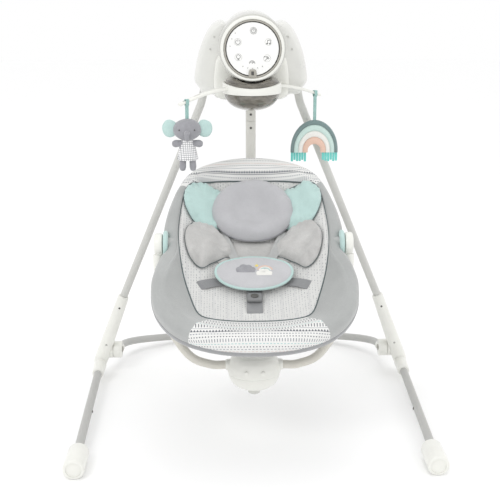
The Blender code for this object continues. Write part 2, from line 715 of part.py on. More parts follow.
def lower_hub(hinge):
    rows = [
        (0.1130, 0.024, 0.024), (0.1175, 0.038, 0.036), (0.1275, 0.050, 0.044),
        (0.1400, 0.0560, 0.0480), (HUB_SPLIT_Z - GAP, 0.0565, 0.0485),
    ]
    hub = build("hub_lower", oval_stack(rows, SWIVEL), white_plastic(), hinge)
    rear_y = SWIVEL[1] + 0.064
    collar = [(0, SWIVEL[1] + 0.030, ARM_LOW_Z), (0, rear_y, ARM_LOW_Z)]
    join(hub, tube(collar, 0.0152, sides=16))
    bore = [(0, SWIVEL[1] + 0.0157, ARM_LOW_Z), (0, rear_y + 0.01, ARM_LOW_Z)]
    cut(hub, tube(bore, ARM_R + 2 * GAP, sides=14))
    centre = (SWIVEL[0], SWIVEL[1], 0)
    cut(hub, disc(0.0064, 0.1207, 0.1600, "Z", centre))
    cut(hub, disc(0.0085, 0.1000, 0.1192, "Z", centre))
    steel = material("bright_steel", (0.62, 0.62, 0.64), 0.25, 1.0)
    pin = disc(0.0060, 0.1210, 0.1553, "Z", centre, 0.0006, 20)
    build("swivel_pin", pin, steel, hinge)
    slide = pivot("release_knob_slide", (SWIVEL[0], SWIVEL[1], 0.113), hinge)
    knob = [
        (0, 0.0985), (0.0115, 0.0985), (0.0135, 0.1005), (0.0135, 0.1110),
        (0.0120, 0.1124), (0.0080, 0.1124), (0.0080, 0.1186), (0, 0.1186),
    ]
    build("release_knob", turned(knob, 20, at=centre), white_plastic(), slide)


def support_path():
    """The U-tube from one side of the seat, down through the hub, to the other side."""
    half = [
        (0.0, SUPPORT_Z), (0.0600, SUPPORT_Z), (0.0980, SUPPORT_Z + 0.0015), (0.1440, 0.1880),
        (0.1880, 0.2560), (0.2050, 0.3350), (0.2085, 0.4080),
    ]
    whole = [(-x, z) for x, z in half[:0:-1]] + half
    lean = (RECLINE[1] - SWIVEL[1]) / (RECLINE[2] - SUPPORT_Z)
    return [
        Vector((p.x, SWIVEL[1] + lean * (p.y - SUPPORT_Z), p.y))
        for p in curve_through([(*q, 0.0) for q in whole], 2)
    ]


def seat_base(hinge):
    swivel = pivot("seat_swivel", (SWIVEL[0], SWIVEL[1], HUB_SPLIT_Z), hinge)
    rows = [
        (HUB_SPLIT_Z, 0.0565, 0.0485), (0.1520, 0.0585, 0.0500), (0.1660, 0.0580, 0.0495),
        (0.1780, 0.0530, 0.0460), (0.1870, 0.0460, 0.0400), (0.1915, 0.0380, 0.0330),
    ]
    hub = build("hub_upper", oval_stack(rows, SWIVEL), white_plastic(), swivel)
    path = support_path()
    cut(hub, tube(path[9:16], LEG_R + 2 * GAP, sides=12))
    cut(hub, disc(0.0065, 0.1400, 0.1556, "Z", (SWIVEL[0], SWIVEL[1], 0)))
    build("seat_support", tube(path, LEG_R, LEG_WALL, 12), beige_tube(), swivel)
    for side, sign in SIDES.items():
        ends = sorted((sign * 0.1978, sign * 0.2205))
        at = (0, RECLINE[1], RECLINE[2])
        body = disc(0.0245, *ends, "X", at)
        fork = build(f"fork_hub_{side}", body, white_plastic(), swivel)
        top = path[-1] if sign > 0 else path[0]
        under = path[-3:] if sign > 0 else path[2::-1]
        join(fork, tube([under[-1], under[-1].lerp(under[0], 0.35)], 0.0112, sides=14))
        over = top + (under[-1] - under[-2]).normalized() * 0.0004
        cut(fork, tube([*under, over], LEG_R + 2 * GAP, sides=12))
        join(fork, disc(0.0050, *sorted((sign * 0.1880, sign * 0.1990)), "X", at, 0, 16))
    return swivel


# ---- seat ---------------------------------------------------------------------------
FABRIC_HALF = [  # x, and distance up the incline from the recline axis
    (0.0, -0.285), (0.085, -0.277), (0.158, -0.247), (0.203, -0.193), (0.2165, -0.130),
    (0.2060, -0.076), (0.1880, -0.032), (0.1860, 0.030), (0.1820, 0.100), (0.1680, 0.172),
    (0.1370, 0.218), (0.0780, 0.241), (0.0, 0.249),
]
BOWL_CENTRE = np.array((0.0, -0.030))


def seat_point(x, up, out):
    """World place of a point on the incline: up it, and out from it."""
    return Vector((
        RECLINE[0] + x,
        RECLINE[1] + up * math.cos(INCLINE) - out * math.sin(INCLINE),
        RECLINE[2] + up * math.sin(INCLINE) + out * math.cos(INCLINE),
    ))


def smooth_step(value):
    value = min(max(value, 0.0), 1.0)
    return value * value * (3 - 2 * value)


def rim_lift(x, up):
    """The ring's head end is arched, highest in the middle."""
    return 0.020 * smooth_step((up - 0.10) / 0.13) * max(1 - (x / 0.17) ** 2, 0.0)


def fabric_outline():
    """(x, up) points round the seat, and the outward direction at each."""
    closed = curve_through([(*p, 0.0) for p in mirrored(FABRIC_HALF)], 2, closed=True)
    points = np.array([(p.x, p.y) for p in closed])
    along = np.roll(points, -1, 0) - np.roll(points, 1, 0)
    outward = np.stack((along[:, 1], -along[:, 0]), 1)
    return points, outward / np.linalg.norm(outward, axis=1)[:, None]


def ring_line():
    points, outward = fabric_outline()
    return points - SKIRT * outward, outward


def ring_reach(angle):
    """Distance from the bowl's centre to the ring, in a direction."""
    line = ring_line()[0] - BOWL_CENTRE
    angles = np.arctan2(line[:, 1], line[:, 0])
    order = np.argsort(angles)
    return float(np.interp(angle, angles[order], np.hypot(*line.T)[order], period=math.tau))


def bowl_height(x, up):
    """How far the seat's sling hangs below the ring's plane at a place on it."""
    offset = np.array((x, up)) - BOWL_CENTRE
    share = float(np.hypot(*offset)) / ring_reach(math.atan2(offset[1], offset[0]))
    depth = BOWL_DEPTH - 0.028 * smooth_step((up - 0.01) / 0.19)
    sag = depth * (1 - min(share / 0.93, 1.0) ** 3.2)
    return rim_lift(x, up) * share**2 - sag


def on_sling(x, up, lift):
    return seat_point(x, up, bowl_height(x, up) + lift)


def sheet_normals(rows):
    """Unit normals of a grid of points that closes along its second index."""
    grid = np.array(rows)
    around = np.roll(grid, -1, 1) - np.roll(grid, 1, 1)
    down = np.gradient(grid, axis=0)
    normals = np.cross(around, down)
    return normals / np.linalg.norm(normals, axis=2)[:, :, None]


def seat_ring(tip):
    line, _ = ring_line()
    path = [seat_point(x, up, rim_lift(x, up)) for x, up in line]
    sides = 8
    loops = []
    count = len(path)
    for i, point in enumerate(path):
        ahead = (path[(i + 1) % count] - path[i - 1]).normalized()
        out = seat_point(0, 0, 1) - seat_point(0, 0, 0)
        across = out.cross(ahead).normalized()
        up = ahead.cross(across)
        turns = [math.tau * k / sides for k in range(sides)]
        loops.append([
            point + RING_R * (across * math.cos(t) + up * math.sin(t)) for t in turns
        ])
    ring = build("seat_ring", loft(loops, around=True), grey_tube(), tip)
    at = (0, RECLINE[1], RECLINE[2])
    for sign in SIDES.values():
        join(ring, disc(0.0150, *sorted((sign * 0.1735, sign * 0.1974)), "X", at, 0, 16))
        cut(ring, disc(0.0054, *sorted((sign * 0.1876, sign * 0.2100)), "X", at, 0, 16))


def seat_shell(tip):
    """The fabric cover: a skirt outside the ring, a wrap over it, and the bowl within."""
    line, outward = ring_line()
    wrap = [
        (0.0122, -0.0280), (0.0135, 0.0), (0.0096, 0.0096), (0.0, 0.0135),
        (-0.0096, 0.0096), (-0.0135, 0.0),
    ]
    shares = [0.860, 0.700, 0.440, 0.150]
    rows = []
    for offset, height in wrap:
        around = line + offset * outward
        rows.append([
            seat_point(*p, rim_lift(*q) + height) for p, q in zip(around, line)
        ])
    for share in shares:
        inner = BOWL_CENTRE + share * (line - BOWL_CENTRE)
        rows.append([on_sling(x, up, 0.0) for x, up in inner])
    normals = sheet_normals(rows)
    if normals[-1, 0] @ np.array(seat_point(0, 0, 1) - seat_point(0, 0, 0)) < 0:
        normals = -normals
    under = np.array(rows) - 0.0040 * normals
    top = rows[::-1]
    shell = build("seat_shell", loft(top + under.tolist()), plush_grey(), tip)
    at = (0, RECLINE[1], RECLINE[2])
    for sign in SIDES.values():
        cut(shell, disc(0.0290, *sorted((sign * 0.1700, sign * 0.2400)), "X", at, 0, 16))


def cushion(name, outline, centre, base, thickness, mat, tip, steps=1, inner=(0.75, 0.45)):
    """A crowned pad that lies on the sling; thickness may vary over it."""
    centre = np.array(centre)
    outline = np.array([
        (p.x, p.y) for p in curve_through([(*q, 0.0) for q in outline], steps, closed=True)
    ])

    def row(share, height):
        points = centre + share * (outline - centre)
        return [
            on_sling(x, up, base + height * (thickness(x, up) if callable(thickness)
                                             else thickness))
            for x, up in points
        ]

    below = [row(share, 0.0) for share in (0.19, 0.55, 0.875, 0.97)]
    above = [row(1.0, 0.45), row(0.96, 0.88), *(row(share, 1.0) for share in (*inner, 0.19))]
    build(name, loft(below + above), mat, tip)


def both_sides(half):
    """A right half outline from low centre to high centre, made whole."""
    return half + [(-x, up) for x, up in half[::-1] if abs(x) > 1e-6]


def cushions(tip):
    cream = material("knit_fabric", (0.74, 0.74, 0.73), 0.95)
    mint = material("mint_fabric", (0.52, 0.68, 0.65), 0.9)
    points = ring_line()[0][::2]
    pad = BOWL_CENTRE + 0.80 * (points - BOWL_CENTRE)
    cushion("seat_pad", pad.tolist(), BOWL_CENTRE, 0.0050, 0.0060, cream, tip,
            inner=(0.875, 0.55))

    lobes = both_sides([
        (0.0, -0.016), (0.050, -0.020), (0.086, -0.030), (0.112, -0.036), (0.141, -0.016),
        (0.150, 0.030), (0.143, 0.066), (0.108, 0.068), (0.088, 0.062), (0.066, 0.056),
        (0.0, 0.046),
    ])
    cushion(
        "body_support", lobes, (0.0, 0.015), 0.0145,
        lambda x, up: 0.0035 + 0.0185 * smooth_step((abs(x) - 0.082) / 0.024),
        plush_grey(), tip, inner=(0.74, 0.55),
    )
    ears = both_sides([
        (0.0, 0.095), (0.060, 0.090), (0.105, 0.075), (0.132, 0.088), (0.141, 0.135),
        (0.134, 0.178), (0.116, 0.194), (0.090, 0.190), (0.060, 0.175), (0.0, 0.160),
    ])
    cushion(
        "headrest_ears", ears, (0.0, 0.130), 0.0145,
        lambda x, up: 0.0035 + 0.0150 * smooth_step((abs(x) - 0.100) / 0.014),
        mint, tip, inner=(0.79, 0.66),
    )
    head_pillow(tip)


def head_pillow(tip):
    """A ring-shaped pillow with a dished middle."""
    middle, outer, inner, oval = 0.112, 0.0920, 0.0400, 0.87
    base, height = 0.0245, 0.0230
    loops = []
    sides = 26
    profile = [
        (inner, 0.0), (outer - 0.006, 0.0), (outer, 0.35), (outer - 0.004, 0.70),
        (outer - 0.018, 0.98), ((outer + inner) / 2, 1.0), (inner + 0.008, 0.80),
        (inner - 0.002, 0.40),
    ]
    for k in range(sides):
        turn = math.tau * k / sides
        section = []
        for radius, share in profile:
            x, up = radius * math.cos(turn), middle + oval * radius * math.sin(turn)
            section.append(on_sling(x, up, base + share * height))
        loops.append(section)
    grey = material("pillow_grey", (0.46, 0.47, 0.48), 0.9)
    build("head_pillow", loft(loops, around=True), grey, tip)


def ribbon(points, width, thickness, per_span=4):
    """A flat strap on the sling through (x, up, lift) points."""
    line = curve_through(points, per_span)
    loops = []
    for i, p in enumerate(line):
        ahead = line[min(i + 1, len(line) - 1)] - line[max(i - 1, 0)]
        side = Vector((-ahead.y, ahead.x)).normalized() * width / 2
        loops.append([
            on_sling(p.x + side.x, p.y + side.y, p.z),
            on_sling(p.x - side.x, p.y - side.y, p.z),
            on_sling(p.x - side.x, p.y - side.y, p.z + thickness),
            on_sling(p.x + side.x, p.y + side.y, p.z + thickness),
        ])
    return loft(loops)


def harness(tip):
    webbing = material("webbing", (0.47, 0.50, 0.49), 0.85)
    dark = material("dark_webbing", (0.25, 0.26, 0.26), 0.85)
    over, low = 0.0215, 0.0150
    half = [(0.0560, 0.0450, over), (0.0450, 0.0080, over), (0.0310, -0.0220, over)]
    shoulder = half + [(0.0, -0.0400, over)] + [(-x, up, lift) for x, up, lift in half[::-1]]
    build("shoulder_harness", ribbon(shoulder, 0.019, 0.0020), webbing, tip)

    half = [(0.1250, -0.0850, low), (0.0850, -0.0660, low)]
    waist = half + [(0.0, -0.0560, low)] + [(-x, up, lift) for x, up, lift in half[::-1]]
    belt = build("lower_harness", ribbon(waist, 0.022, 0.0022), dark, tip)
    join(belt, ribbon([(0, -0.052, low + 0.0004), (0, -0.105, low + 0.0004),
                       (0, -0.160, low + 0.0004)], 0.034, 0.0026))
    buckle = [
        (x, up) for x, up in ((-0.017, -0.128), (0.017, -0.128), (0.017, -0.102), (-0.017, -0.102))
    ]
    lift = low + 0.0036
    rows = [[on_sling(x, up, lift + rise) for x, up in buckle] for rise in (0.0, 0.0085)]
    body = loft(rows)
    bmesh.ops.bevel(body, geom=body.edges[:], offset=0.0018, segments=2, profile=0.5,
                    affect="EDGES")
    build("buckle", body, material("grey_moulding", (0.35, 0.35, 0.36), 0.45), tip)

    oval = [
        (0.083 * math.cos(math.tau * k / 16), -0.048 + 0.0465 * math.sin(math.tau * k / 16))
        for k in range(16)
    ]
    lilac = material("tummy_fabric", (0.60, 0.62, 0.64), 0.9)
    cushion("tummy_pad", oval, (0.0, -0.048), 0.0260, 0.0110, lilac, tip)


def seat(swivel):
    tip = pivot("seat_recline", RECLINE, swivel)
    seat_ring(tip)
    seat_shell(tip)
    cushions(tip)
    harness(tip)


def main():
    clear_scene()
    motor_head()
    control_pod()
    globe_and_bar()
    stand()
    rear_bow()
    hinge = swing_arm()
    lower_hub(hinge)
    seat(seat_base(hinge))


main()
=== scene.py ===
"""Looks of the baby swing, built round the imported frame. Metres, +Z up, the swing faces -Y."""

import math

import bmesh
import bpy
import numpy as np
from mathutils import Matrix, Vector, noise
from mathutils.bvhtree import BVHTree


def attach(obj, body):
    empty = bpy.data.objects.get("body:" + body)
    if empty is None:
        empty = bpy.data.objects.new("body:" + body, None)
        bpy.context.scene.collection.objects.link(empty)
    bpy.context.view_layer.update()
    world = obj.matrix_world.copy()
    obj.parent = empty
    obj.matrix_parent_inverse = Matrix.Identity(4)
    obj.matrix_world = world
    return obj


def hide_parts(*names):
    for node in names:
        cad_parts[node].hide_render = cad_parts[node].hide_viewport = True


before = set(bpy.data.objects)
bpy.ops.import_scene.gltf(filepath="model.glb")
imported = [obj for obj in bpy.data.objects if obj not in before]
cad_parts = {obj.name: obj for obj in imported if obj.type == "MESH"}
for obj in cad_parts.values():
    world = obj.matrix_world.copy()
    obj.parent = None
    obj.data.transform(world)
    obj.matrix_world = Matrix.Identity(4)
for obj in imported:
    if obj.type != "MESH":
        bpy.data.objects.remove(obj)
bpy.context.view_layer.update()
SIDES = {"left": -1, "right": 1}
NODE_EDGE = 0.0003  # rounding of the edges of CAD solids that show
PRINT_DEPTH = 0.0003  # thickness of the icons' ink
DOOR_X = 0.087  # middle of each battery door


# ---- camera, lights, floor ----------------------------------------------------------
def add_object(name, data):
    obj = bpy.data.objects.new(name, data)
    bpy.context.scene.collection.objects.link(obj)
    return obj


def camera():
    data = bpy.data.cameras.new("camera")
    data.lens = 70.2
    data.sensor_width = 36.0
    obj = add_object("camera", data)
    obj.location = (-0.055, -2.20, 1.01)
    obj.rotation_euler = (math.radians(90 - 16.2), 0, math.radians(-1.31))
    bpy.context.scene.camera = obj


def area_light(name, place, target, size, power):
    data = bpy.data.lights.new(name, "AREA")
    data.shape = "DISK"
    data.size = size
    data.energy = power
    obj = add_object(name, data)
    obj.location = place
    aim = Vector(target) - Vector(place)
    obj.rotation_euler = aim.to_track_quat("-Z", "Y").to_euler()


def studio():
    world = bpy.data.worlds.new("world")
    bpy.context.scene.world = world
    world.use_nodes = True
    backdrop = world.node_tree.nodes["Background"]
    backdrop.inputs["Color"].default_value = (1.0, 1.0, 1.0, 1.0)
    backdrop.inputs["Strength"].default_value = 1.0
    area_light("key", (-1.5, -2.2, 2.6), (0, 0, 0.45), 1.0, 15)
    area_light("fill", (1.9, -1.6, 1.7), (0, 0, 0.40), 1.8, 4)
    area_light("top", (0.1, 0.5, 2.9), (0, -0.1, 0.4), 1.2, 6)
    bpy.context.scene.view_settings.view_transform = "Standard"

    bm = bmesh.new()
    bmesh.ops.create_grid(bm, x_segments=2, y_segments=2, size=9.0)
    mesh = bpy.data.meshes.new("floor")
    bm.to_mesh(mesh)
    bm.free()
    floor = add_object("floor", mesh)
    g = Graph("floor_paper", (0.995, 0.995, 0.995), 0.95)
    mesh.materials.append(g.mat)


# ---- materials ----------------------------------------------------------------------
class Graph:
    """A Principled material with small helpers for its node tree."""

    def __init__(self, name, colour, roughness, **fixed):
        self.mat = bpy.data.materials.new(name)
        self.mat.use_nodes = True
        self.tree = self.mat.node_tree
        self.shader = self.tree.nodes["Principled BSDF"]
        self.set("Base Color", (*colour, 1.0))
        self.set("Roughness", roughness)
        for key, value in fixed.items():
            self.set(key.replace("_", " ").title().replace("Ior", "IOR"), value)

    def set(self, socket, value):
        self.shader.inputs[socket].default_value = value

    def node(self, kind, **props):
        made = self.tree.nodes.new(kind)
        for key, value in props.items():
            setattr(made, key, value)
        return made

    def link(self, source, target):
        self.tree.links.new(source, target)

    def feed(self, socket, value):
        if isinstance(value, bpy.types.NodeSocket):
            self.link(value, socket)
        else:
            socket.default_value = value

    def math(self, operation, a, b=0.0):
        made = self.node("ShaderNodeMath", operation=operation)
        for socket, value in zip(made.inputs, (a, b)):
            self.feed(socket, value)
        return made.outputs[0]

    def coords(self):
        return self.node("ShaderNodeTexCoord").outputs["Object"]

    def stretched(self, vector, scale):
        made = self.node("ShaderNodeMapping")
        self.link(vector, made.inputs["Vector"])
        made.inputs["Scale"].default_value = scale
        return made.outputs[0]

    def split(self, vector):
        made = self.node("ShaderNodeSeparateXYZ")
        self.link(vector, made.inputs[0])
        return made.outputs

    def noise(self, vector, scale, detail=2.0, roughness=0.5):
        made = self.node("ShaderNodeTexNoise")
        self.link(vector, made.inputs["Vector"])
        made.inputs["Scale"].default_value = scale
        made.inputs["Detail"].default_value = detail
        made.inputs["Roughness"].default_value = roughness
        return made.outputs["Fac"]

    def spread(self, value, low, high, to_low=0.0, to_high=1.0):
        made = self.node("ShaderNodeMapRange", clamp=True)
        for socket, item in zip(made.inputs, (value, low, high, to_low, to_high)):
            self.feed(socket, item)
        return made.outputs[0]

    def mix(self, factor, a, b):
        made = self.node("ShaderNodeMix", data_type="RGBA")
        self.feed(made.inputs[0], factor)
        for socket, value in ((made.inputs[6], a), (made.inputs[7], b)):
            self.feed(socket, (*value, 1.0) if isinstance(value, tuple) else value)
        return made.outputs[2]

    def colour(self, value):
        self.link(value, self.shader.inputs["Base Color"])

    def roughness(self, value):
        self.link(value, self.shader.inputs["Roughness"])

    def bump(self, height, distance, strength=1.0):
        made = self.node("ShaderNodeBump")
        made.inputs["Strength"].default_value = strength
        made.inputs["Distance"].default_value = distance
        self.link(height, made.inputs["Height"])
        self.link(made.outputs[0], self.shader.inputs["Normal"])


def shade(colour, factor):
    return tuple(min(c * factor, 1.0) for c in colour)


def moulded(name, colour, roughness=0.30, coat=0.25):
    """Injection-moulded plastic: fine grain, faint flow marks and handling haze."""
    g = Graph(name, colour, roughness)
    g.set("Coat Weight", coat)
    g.set("Coat Roughness", 0.12)
    at = g.coords()
    haze = g.noise(at, 14.0, 4.0, 0.6)
    fine = g.noise(at, 2200.0, 2.0)
    g.colour(g.mix(g.spread(haze, 0.35, 0.65), shade(colour, 0.965), shade(colour, 1.02)))
    g.roughness(g.spread(haze, 0.3, 0.7, roughness - 0.04, roughness + 0.07))
    g.bump(fine, 0.00004, 0.5)
    return g.mat


def powder(name, colour):
    """Powder-coated tube: orange-peel texture over an even coat."""
    g = Graph(name, colour, 0.42)
    at = g.coords()
    peel = g.noise(at, 900.0, 3.0, 0.55)
    patch = g.noise(at, 22.0, 3.0)
    g.colour(g.mix(patch, shade(colour, 0.95), shade(colour, 1.05)))
    g.roughness(g.spread(peel, 0.3, 0.7, 0.36, 0.50))
    g.bump(peel, 0.00008, 0.6)
    return g.mat


def pile(name, colour, brush=11.0, depth=0.0011, contrast=0.13, sheen=0.55):
    """Short-pile plush: brushed patches that catch the light, and the pile itself."""
    g = Graph(name, colour, 0.92)
    g.set("Sheen Weight", sheen)
    g.set("Sheen Roughness", 0.45)
    at = g.coords()
    patch = g.noise(at, brush, 4.0, 0.62)
    tuft = g.noise(at, 260.0, 3.0, 0.7)
    hair = g.noise(g.stretched(at, (1.0, 1.0, 0.45)), 1500.0, 2.0, 0.8)
    tone = g.math("ADD", g.math("MULTIPLY", patch, 0.75), g.math("MULTIPLY", tuft, 0.25))
    low, high = shade(colour, 1 - contrast), shade(colour, 1 + contrast)
    base = g.mix(g.spread(tone, 0.34, 0.66), low, high)
    g.colour(g.mix(g.spread(hair, 0.25, 0.75), shade(colour, 0.86), base))
    height = g.math("ADD", g.math("MULTIPLY", tuft, 0.6), g.math("MULTIPLY", hair, 0.5))
    g.bump(height, depth, 0.55)
    return g.mat


def woven(name, colour, pitch):
    """Plain-weave cloth from two crossing waves, placed by the object in metres."""
    g = Graph(name, colour, 0.85)
    g.set("Sheen Weight", 0.25)
    x, y, z = g.split(g.coords())
    across = g.math("SINE", g.math("MULTIPLY", g.math("ADD", x, z), math.tau / pitch))
    along = g.math("SINE", g.math("MULTIPLY", g.math("SUBTRACT", y, z), math.tau / pitch))
    weave = g.math("MULTIPLY", across, along)
    cloudy = g.noise(g.coords(), 40.0, 3.0)
    tone = g.math("ADD", g.math("MULTIPLY", weave, 0.25), cloudy)
    g.colour(g.mix(g.spread(tone, 0.2, 0.8), shade(colour, 0.84), shade(colour, 1.06)))
    g.bump(weave, 0.00018, 0.6)
    return g.mat


# ---- mesh tools ---------------------------------------------------------------------
def piece(name, bm, mats, body, replaces=(), angle=50):
    """Turns a bmesh in world coordinates into a piece that rides on a body."""
    bmesh.ops.recalc_face_normals(bm, faces=bm.faces)
    mesh = bpy.data.meshes.new(name)
    bm.to_mesh(mesh)
    bm.free()
    mesh.shade_smooth()
    mesh.set_sharp_from_angle(angle=math.radians(angle))
    for mat in mats if isinstance(mats, (list, tuple)) else [mats]:
        mesh.materials.append(mat)
    obj = add_object(name, mesh)
    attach(obj, body)
    if replaces:
        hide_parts(*replaces)
    return obj


def bevel(obj, width, segments=2, angle=35):
    modifier = obj.modifiers.new("edge", "BEVEL")
    modifier.width = width
    modifier.segments = segments
    modifier.limit_method = "ANGLE"
    modifier.angle_limit = math.radians(angle)


def apply_modifiers(obj):
    graph = bpy.context.evaluated_depsgraph_get()
    mesh = bpy.data.meshes.new_from_object(obj.evaluated_get(graph), depsgraph=graph)
    obj.modifiers.clear()
    obj.data = mesh


def reshade(obj, angle=40):
    """Smooth shading with sharp edges past an angle, once booleans have rebuilt a mesh."""
    obj.data.shade_smooth()
    obj.data.set_sharp_from_angle(angle=math.radians(angle))


def boolean(obj, bm, operation="DIFFERENCE"):
    """Cuts or joins a second shape and applies it."""
    mesh = bpy.data.meshes.new("cutter")
    bmesh.ops.recalc_face_normals(bm, faces=bm.faces)
    bm.to_mesh(mesh)
    bm.free()
    cutter = add_object("cutter", mesh)
    modifier = obj.modifiers.new("cut", "BOOLEAN")
    modifier.operation = operation
    modifier.solver = "EXACT"
    modifier.object = cutter
    apply_modifiers(obj)
    bpy.data.objects.remove(cutter)


def turned(profile, steps=64, closed=False, axis="Z", at=(0, 0, 0)):
    """Spins (radius, height) points about an axis; closed profiles make rings."""
    bm = bmesh.new()
    verts = [bm.verts.new((radius, 0, height)) for radius, height in profile]
    ends = verts[1:] + (verts[:1] if closed else [])
    edges = [bm.edges.new(pair) for pair in zip(verts, ends)]
    bmesh.ops.spin(
        bm, geom=verts + edges, cent=(0, 0, 0), axis=(0, 0, 1),
        angle=math.tau, steps=steps, use_merge=True,
    )
    bmesh.ops.remove_doubles(bm, verts=bm.verts, dist=1e-5)
    turn = {
        "Z": Matrix(),
        "X": Matrix.Rotation(math.pi / 2, 4, "Y"),
        "Y": Matrix.Rotation(-math.pi / 2, 4, "X"),
    }[axis]
    bmesh.ops.transform(bm, matrix=Matrix.Translation(at) @ turn, verts=bm.verts)
    return bm


def curve_through(points, per_span=6, closed=False):
    """Points along a smooth curve through the given ones."""
    given = [Vector(p) for p in points]
    count = len(given)
    found = []
    for i in range(count if closed else count - 1):
        if closed:
            a, b, c, d = (given[(i + k) % count] for k in (-1, 0, 1, 2))
        else:
            a, b = given[max(i - 1, 0)], given[i]
            c, d = given[i + 1], given[min(i + 2, count - 1)]
        for step in range(per_span):
            t = step / per_span
            found.append(
                0.5 * (2 * b + (c - a) * t + (2 * a - 5 * b + 4 * c - d) * t**2
                       + (3 * b - a - 3 * c + d) * t**3)
            )
    return found if closed else [*found, given[-1]]


def flat_curve(points, per_span=6, closed=True):
    """curve_through for points of two numbers."""
    found = curve_through([(*p, 0.0) for p in points], per_span, closed)
    return np.array([(p.x, p.y) for p in found])


def bent_path(points, radius, steps=16):
    """Straight runs joined by arcs, as a tube bender makes them."""
    points = [Vector(p) for p in points]
    found = [points[0]]
    for before, corner, after in zip(points, points[1:], points[2:]):
        to_before = (before - corner).normalized()
        to_after = (after - corner).normalized()
        half = to_before.angle(to_after) / 2
        centre = corner + (to_before + to_after).normalized() * radius / math.sin(half)
        start = (corner + to_before * radius / math.tan(half) - centre).normalized()
        end = (corner + to_after * radius / math.tan(half) - centre).normalized()
        for step in range(steps + 1):
            found.append(centre + radius * start.slerp(end, step / steps))
    return [*found, points[-1]]


def loft(loops, around=False, mat_of=None, print_of=None):
    """Quads between loops of equal length; print_of gives each point its place in a print."""
    bm = bmesh.new()
    layer = bm.loops.layers.uv.new("print") if print_of else None
    rows = [[bm.verts.new(point) for point in loop] for loop in loops]
    count = len(rows)
    for i in range(count if around else count - 1):
        row, following = rows[i], rows[(i + 1) % count]
        for k in range(len(row)):
            after = (k + 1) % len(row)
            corners = ((i, k), (i, after), ((i + 1) % count, after), ((i + 1) % count, k))
            face = bm.faces.new((row[k], row[after], following[after], following[k]))
            if mat_of:
                face.material_index = mat_of(i, k)
            if layer:
                for loop, corner in zip(face.loops, corners):
                    loop[layer].uv = print_of(*corner)
    if not around:
        for i in (0, count - 1):
            face = bm.faces.new(rows[i])
            if mat_of:
                face.material_index = mat_of(min(i, count - 2), 0)
            if layer:
                for k, loop in enumerate(face.loops):
                    loop[layer].uv = print_of(i, k)
    return bm


def rings_along(path, radii, sides):
    """Circles square to a path."""
    path = [Vector(p) for p in path]
    ahead = [
        (path[min(i + 1, len(path) - 1)] - path[max(i - 1, 0)]).normalized()
        for i in range(len(path))
    ]
    across = ahead[0].orthogonal().normalized()
    loops = []
    for i, point in enumerate(path):
        across = (across - ahead[i] * across.dot(ahead[i])).normalized()
        other = ahead[i].cross(across)
        turns = [math.tau * (k + 0.5) / sides for k in range(sides)]
        loops.append([
            point + radii[i] * (across * math.cos(a) + other * math.sin(a)) for a in turns
        ])
    return loops


def tube(path, radius, sides=32, rounded=0.0):
    """A closed round bar along a path, its ends rounded off if asked."""
    path = [Vector(p) for p in path]
    radii = list(radius) if isinstance(radius, (list, tuple)) else [radius] * len(path)
    if rounded:
        start = (path[0] - path[1]).normalized()
        end = (path[-1] - path[-2]).normalized()
        head = [path[0] + start * rounded * k for k in (1.0, 0.87, 0.5)]
        tail = [path[-1] + end * rounded * k for k in (0.5, 0.87, 1.0)]
        shares = [0.25, 0.55, 0.90]
        radii = [radii[0] * s for s in shares] + radii + [radii[-1] * s for s in shares[::-1]]
        path = head + path + tail
    return loft(rings_along(path, radii, sides))


def cord_loop(path, radius, sides=10):
    """A closed round cord through a ring of points."""
    path = [Vector(p) for p in path]
    count = len(path)
    loops = []
    across = None
    for i, point in enumerate(path):
        ahead = (path[(i + 1) % count] - path[i - 1]).normalized()
        across = across or ahead.orthogonal()
        across = (across - ahead * across.dot(ahead)).normalized()
        other = ahead.cross(across)
        loops.append([
            point + radius * (across * math.cos(a) + other * math.sin(a))
            for a in (math.tau * k / sides for k in range(sides))
        ])
    twist = min(
        range(sides),
        key=lambda s: sum((loops[-1][(k + s) % sides] - loops[0][k]).length for k in range(sides)),
    )
    bm = bmesh.new()
    rows = [[bm.verts.new(p) for p in loop] for loop in loops]
    for i in range(count):
        row, following = rows[i], rows[(i + 1) % count]
        shift = twist if i == count - 1 else 0
        for k in range(sides):
            a, b = (k + shift) % sides, (k + 1 + shift) % sides
            bm.faces.new((row[a], row[b], following[(k + 1) % sides], following[k]))
    return bm


def disc(radius, low, high, axis, at, edge=0.001, steps=64):
    rim = [
        (radius - edge, low), (radius - edge * 0.3, low + edge * 0.3), (radius, low + edge),
        (radius, high - edge), (radius - edge * 0.3, high - edge * 0.3), (radius - edge, high),
    ]
    return turned([(0, low), *rim, (0, high)], steps, axis=axis, at=at)


def box(low, high):
    bm = bmesh.new()
    bmesh.ops.create_cube(bm, size=1.0)
    low, high = Vector(low), Vector(high)
    for vert in bm.verts:
        vert.co = Vector((high[k] if vert.co[k] > 0 else low[k]) for k in range(3))
    return bm


def merge(target, other):
    """Adds a second bmesh's faces to the first, as a separate body in one piece."""
    mesh = bpy.data.meshes.new("part")
    other.to_mesh(mesh)
    other.free()
    target.from_mesh(mesh)
    bpy.data.meshes.remove(mesh)
    return target


def squarish(wave, power):
    """A sine or cosine pushed towards -1 or 1, which squares off an oval."""
    return np.sign(wave) * abs(wave) ** power


def smooth_step(value):
    value = min(max(value, 0.0), 1.0)
    return value * value * (3 - 2 * value)


def surface_of(obj):
    graph = bpy.context.evaluated_depsgraph_get()
    return BVHTree.FromObject(obj, graph)


